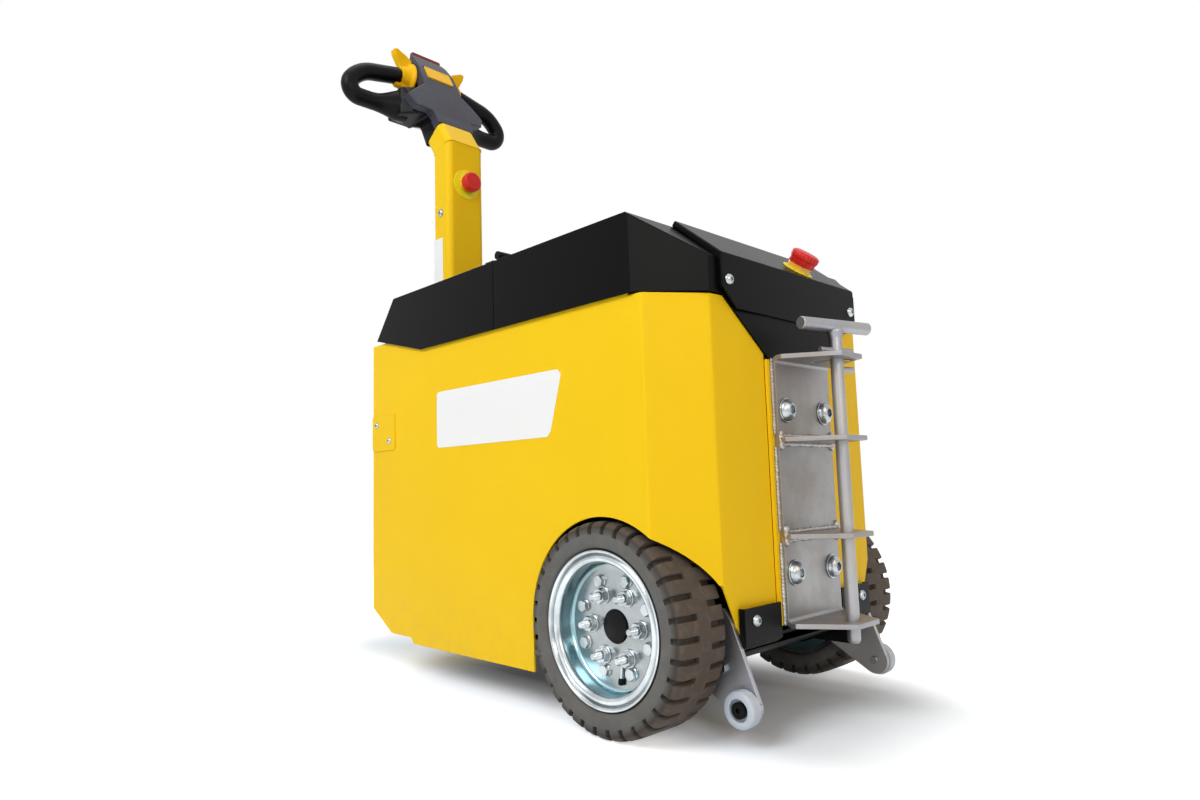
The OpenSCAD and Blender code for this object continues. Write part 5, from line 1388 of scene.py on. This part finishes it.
class TUG_OT_head(bpy.types.Operator):
    """Tiller head: grey shell with its creases, black base, signal and belly buttons"""

    bl_idname = "tug.head"
    bl_label = "Tiller head"

    def execute(self, context):
        voxel = context.scene.tug_sizes.plastic_voxel
        shell = softened("head_shell", "head_shell_moulded", voxel, 5)
        for vertex in shell.data.vertices:
            wide = abs(vertex.co.y) / MM
            high = vertex.co.z / MM
            crease = CREASE_Y + CREASE_SPREAD * clamped((CREASE_Z - high) / CREASE_FALL)
            sunk = CREASE_LEAN * max(0.0, wide - crease) + WING_LEAN * max(0.0, wide - WING_Y)
            sunk *= clamped((high - SHELL_FOOT_Z) / SHELL_FOOT_HEIGHT)
            vertex.co += Vector((-1, 0, 0.35)) * sunk * MM
        self.pocket(shell, Matrix.Translation(at(*BELLY_PLACE)), BELLY_POCKET)
        leaning = Matrix.Translation(at(HUB_X + 40.5, 0, HUB_Z + 6.7)) @ Matrix.Rotation(HEAD_LEAN, 4, "Y")
        self.pocket(shell, leaning @ Matrix.Translation((0, 0, 13.8 * MM)), SIGNAL_POCKET)
        hand_over(smooth(shell, 60, False), "chassis", "grey_shell", "head_shell")
        under = prism("under", [
            (-800, 985), (-682, 985), (-684, 1006), (-708, 1056), (-741, 1070), (-800, 1078),
        ], 110)
        for side in (-1, 1):
            wing = prism("wing", [(-810, 980), (-600, 980), (-600, 1068), (-741, 1072), (-810, 1079)], 40)
            settle(wing, Matrix.Translation((0, side * 84 * MM, 0)))
            cut(under, wing, "UNION")
        base = softened("head_base", "head_base_moulded", voxel * 1.2, 18, removed=under)
        self.pocket(base, Matrix.Translation(at(*BELLY_PLACE)), BELLY_POCKET)
        hand_over(smooth(base, 60, False), "chassis", "black_plastic", "head_base")
        self.signal_button()
        self.belly_switch()
        return op_done()

    def pocket(self, piece, matrix, halves):
        """Cuts a button's pocket, with its whole travel, back into a softened moulding."""
        start_fresh()
        bpy.ops.mesh.primitive_cube_add(size=2 * MM)
        tool = bpy.context.object
        settle(tool, matrix @ Matrix.Diagonal((*halves, 1)))
        cut(piece, tool)

    def signal_button(self):
        piece = copied("horn_button", "signal_button")
        outward = Vector((math.sin(HEAD_LEAN), 0, math.cos(HEAD_LEAN)))
        edit(piece)
        pick(piece, "EDGE", lambda e: abs((e.verts[0].co - e.verts[1].co).normalized().dot(outward)) > 0.98)
        bpy.ops.mesh.bevel(offset=4.5 * MM, segments=6, affect="EDGES")
        pick(piece, "FACE", lambda f: f.normal.dot(outward) > 0.98)
        bpy.ops.mesh.inset(thickness=1.0 * MM, depth=0)
        bpy.ops.mesh.inset(thickness=2.1 * MM, depth=0)
        bpy.ops.mesh.inset(thickness=0.7 * MM, depth=-0.4 * MM)
        leave()
        round_edges(piece, 0.4 * MM, 2, 40, held=True)
        self.kept_inside(piece, "horn_button")
        hand_over(piece, "horn", "yellow_plastic", "horn_button")

    def belly_switch(self):
        piece = copied("belly_button", "belly_switch")
        edit(piece)
        pick(piece, "EDGE", lambda e: abs((e.verts[0].co - e.verts[1].co).normalized().x) > 0.98)
        bpy.ops.mesh.bevel(offset=3.4 * MM, segments=5, affect="EDGES")
        pick(piece, "FACE", lambda f: f.normal.x < -0.98)
        bpy.ops.mesh.inset(thickness=1.9 * MM, depth=0)
        bpy.ops.mesh.inset(thickness=0.9 * MM, depth=-0.7 * MM)
        leave()
        round_edges(piece, 0.8 * MM, 3, 40, held=True)
        self.kept_inside(piece, "belly_button")
        hand_over(piece, "belly_switch", "dark_red_plastic", "belly_button")

    def kept_inside(self, piece, node):
        """A button may not grow, because it slides in its pocket."""
        if not stays_inside(piece, *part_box(node)):
            raise RuntimeError("the rounded " + node + " leaves its box")
        smooth(piece)


class TUG_OT_loops(bpy.types.Operator):
    """Handle loops: a straight grip, the turn at the tip and the arm that widens into the base"""

    bl_idname = "tug.loops"
    bl_label = "Handle loops"

    def execute(self, context):
        sections = []
        grip_heading, knuckle_heading, arm_heading = -12, -55, -180
        grip, knuckle, tip = 17.5, 75, 21

        def off(centre, radius, heading):
            """The point that lies a radius to the left of a heading, from a centre in y and z."""
            angle = math.radians(heading)
            return centre[0] - radius * math.sin(angle), centre[1] + radius * math.cos(angle)

        tip_centre = (164.0, 1118.5)
        knuckle_centre = off(tip_centre, tip - knuckle, knuckle_heading)
        start_y, start_z = off(knuckle_centre, knuckle, grip_heading)
        lean = math.radians(-grip_heading)
        length = (start_y - 75) / math.cos(lean)
        for share, radius in ((0.0, 15.6), (0.012, 16.9), (0.04, grip), (0.35, grip), (0.7, grip)):
            back = length * (1 - share)
            y, z = start_y - back * math.cos(lean), start_z + back * math.sin(lean)
            sections.append((HUB_X, y, z, grip_heading, radius, radius))
        for centre, radius, first, last, shares in (
            (knuckle_centre, knuckle, grip_heading, knuckle_heading, [i / 8 for i in range(9)]),
            (tip_centre, tip, knuckle_heading, arm_heading, [i / 16 for i in range(1, 17)]),
        ):
            for share in shares:
                heading = first + (last - first) * share
                sections.append((HUB_X, *off(centre, radius, heading), heading, grip, grip))
        for y, shift, z, wide, high in (
            (150, 0, 1097.5, 17.5, 17.5), (138, 0, 1097.6, 17.5, 17.6), (126, 1, 1098, 18.2, 18.4),
            (116, 3, 1098.6, 20, 20.6), (107, 6, 1099, 22.6, 23.6), (99, 9, 1099.2, 25, 26.8),
            (92, 11, 1099.4, 27.2, 29.6), (86, 13, 1099.6, 28.6, 31.6), (78, 15, 1099.6, 29.6, 32.6),
            (70, 17, 1099.6, 30, 33),
        ):
            sections.append((HUB_X + shift, y, z, arm_heading, wide, high))
        left = lofted("handle_loop_left_moulded", sections, 40)
        core = turned("core", [(0, 43), (12, 43), (12, 80), (0, 80)], 40)
        settle(core, sideways(1, HUB_X, 0, HUB_Z))
        left = joined([left, core], "handle_loop_left_moulded")
        smooth(left, 40, False)
        right = other_side(left, "handle_loop_right_moulded")
        smooth(right, 40, False)
        hand_over(left, "chassis", "black_plastic", "handle_loop_left")
        hand_over(right, "chassis", "black_plastic", "handle_loop_right")
        return op_done()


class TUG_OT_paddles(bpy.types.Operator):
    """Thumb paddles: a waisted hub with an ear that stands up and a lip below"""

    bl_idname = "tug.paddles"
    bl_label = "Paddles"

    def execute(self, context):
        voxel = context.scene.tug_sizes.plastic_voxel
        bell_mouth = turned("bell_mouth", ring([
            (12.6, 46.6), (31, 46.6), (32, 47.8), (31.6, 50),
            (28.2, 54), (24.6, 58.5), (22, 63), (20.6, 68),
            (19.6, 72.6), (12.6, 72.6),
        ]), 72)
        settle(bell_mouth, sideways(1, HUB_X, 0, HUB_Z))
        left = softened("paddle_left", "paddle_left_moulded", voxel * 0.75, 7, added=bell_mouth)
        middle = at(HUB_X, 0, HUB_Z)
        for vertex in left.data.vertices:
            across, up = (vertex.co.x - middle.x) / MM, (vertex.co.z - middle.z) / MM
            radius = math.hypot(across, up)
            shrink = WAIST_DEPTH * clamped((abs(vertex.co.y) / MM - WAIST_Y) / WAIST_LENGTH) ** 0.7
            inside = clamped((radius - WAIST_INNER) / WAIST_INNER_BLEND)
            shrink *= inside * clamped((WAIST_OUTER - radius) / WAIST_OUTER_BLEND)
            if radius > WAIST_INNER:
                vertex.co.x -= across / radius * shrink * MM
                vertex.co.z -= up / radius * shrink * MM
        finish_modifier(left, "SMOOTH", factor=0.5, iterations=3)
        smooth(left, 180, False)
        right = other_side(left, "paddle_right_moulded")
        smooth(right, 180, False)
        hand_over(left, "throttle_left", "yellow_plastic", "paddle_left")
        hand_over(right, "throttle_right", "yellow_plastic", "paddle_right")
        return op_done()


class TUG_OT_inside(bpy.types.Operator):
    """Finishes of the chassis and the machinery under the cover"""

    bl_idname = "tug.inside"
    bl_label = "Chassis and inside"

    def execute(self, context):
        table = {
            "chassis_frame": "black_paint", "hitch_backing": "steel_plate", "wheel_housings": "black_paint",
            "transaxle": "cast_alloy", "drive_motor": "black_paint", "parking_brake": "black_plastic",
            "batteries": "battery_case", "battery_tray": "black_paint", "motor_controller": "cast_alloy",
            "main_contactor": "black_plastic", "charge_socket": "black_plastic",
            "column_post": "black_paint",
        }
        for node, slot_name in table.items():
            piece = frame["nodes"][node]
            for place in piece.material_slots:
                place.material = finish_of(slot_name)
        return op_done()


STEPS = (
    TUG_OT_stage, TUG_OT_body, TUG_OT_column, TUG_OT_hitch, TUG_OT_pin, TUG_OT_tyres, TUG_OT_rims,
    TUG_OT_wheel_bolts, TUG_OT_rollers, TUG_OT_small_screws, TUG_OT_stops, TUG_OT_head, TUG_OT_loops,
    TUG_OT_paddles, TUG_OT_inside,
)


class TUG_PT_panel(bpy.types.Panel):
    """Lists the steps that dress the tug"""

    bl_idname = "TUG_PT_panel"
    bl_label = "Electric tug"
    bl_space_type = "VIEW_3D"
    bl_region_type = "UI"
    bl_category = "Tug"

    def draw(self, context):
        column = self.layout.column()
        for step in STEPS:
            column.operator(step.bl_idname)
        for group in (context.scene.tug_sizes, context.scene.tug_colours):
            for key in group.__annotations__:
                column.prop(group, key)


CLASSES = (TugSizes, TugColours) + STEPS + (TUG_PT_panel,)


def register():
    for kind in CLASSES:
        bpy.utils.register_class(kind)
    bpy.types.Scene.tug_sizes = PointerProperty(type=TugSizes)
    bpy.types.Scene.tug_colours = PointerProperty(type=TugColours)


def unregister():
    del bpy.types.Scene.tug_colours
    del bpy.types.Scene.tug_sizes
    for kind in reversed(CLASSES):
        bpy.utils.unregister_class(kind)


def main():
    register()
    bpy.ops.tug.stage()
    bpy.ops.tug.body()
    bpy.ops.tug.column()
    bpy.ops.tug.hitch()
    bpy.ops.tug.pin()
    bpy.ops.tug.tyres()
    bpy.ops.tug.rims()
    bpy.ops.tug.wheel_bolts()
    bpy.ops.tug.rollers()
    bpy.ops.tug.small_screws()
    bpy.ops.tug.stops()
    bpy.ops.tug.head()
    bpy.ops.tug.loops()
    bpy.ops.tug.paddles()
    bpy.ops.tug.inside()


if __name__ == "__main__":
    main()
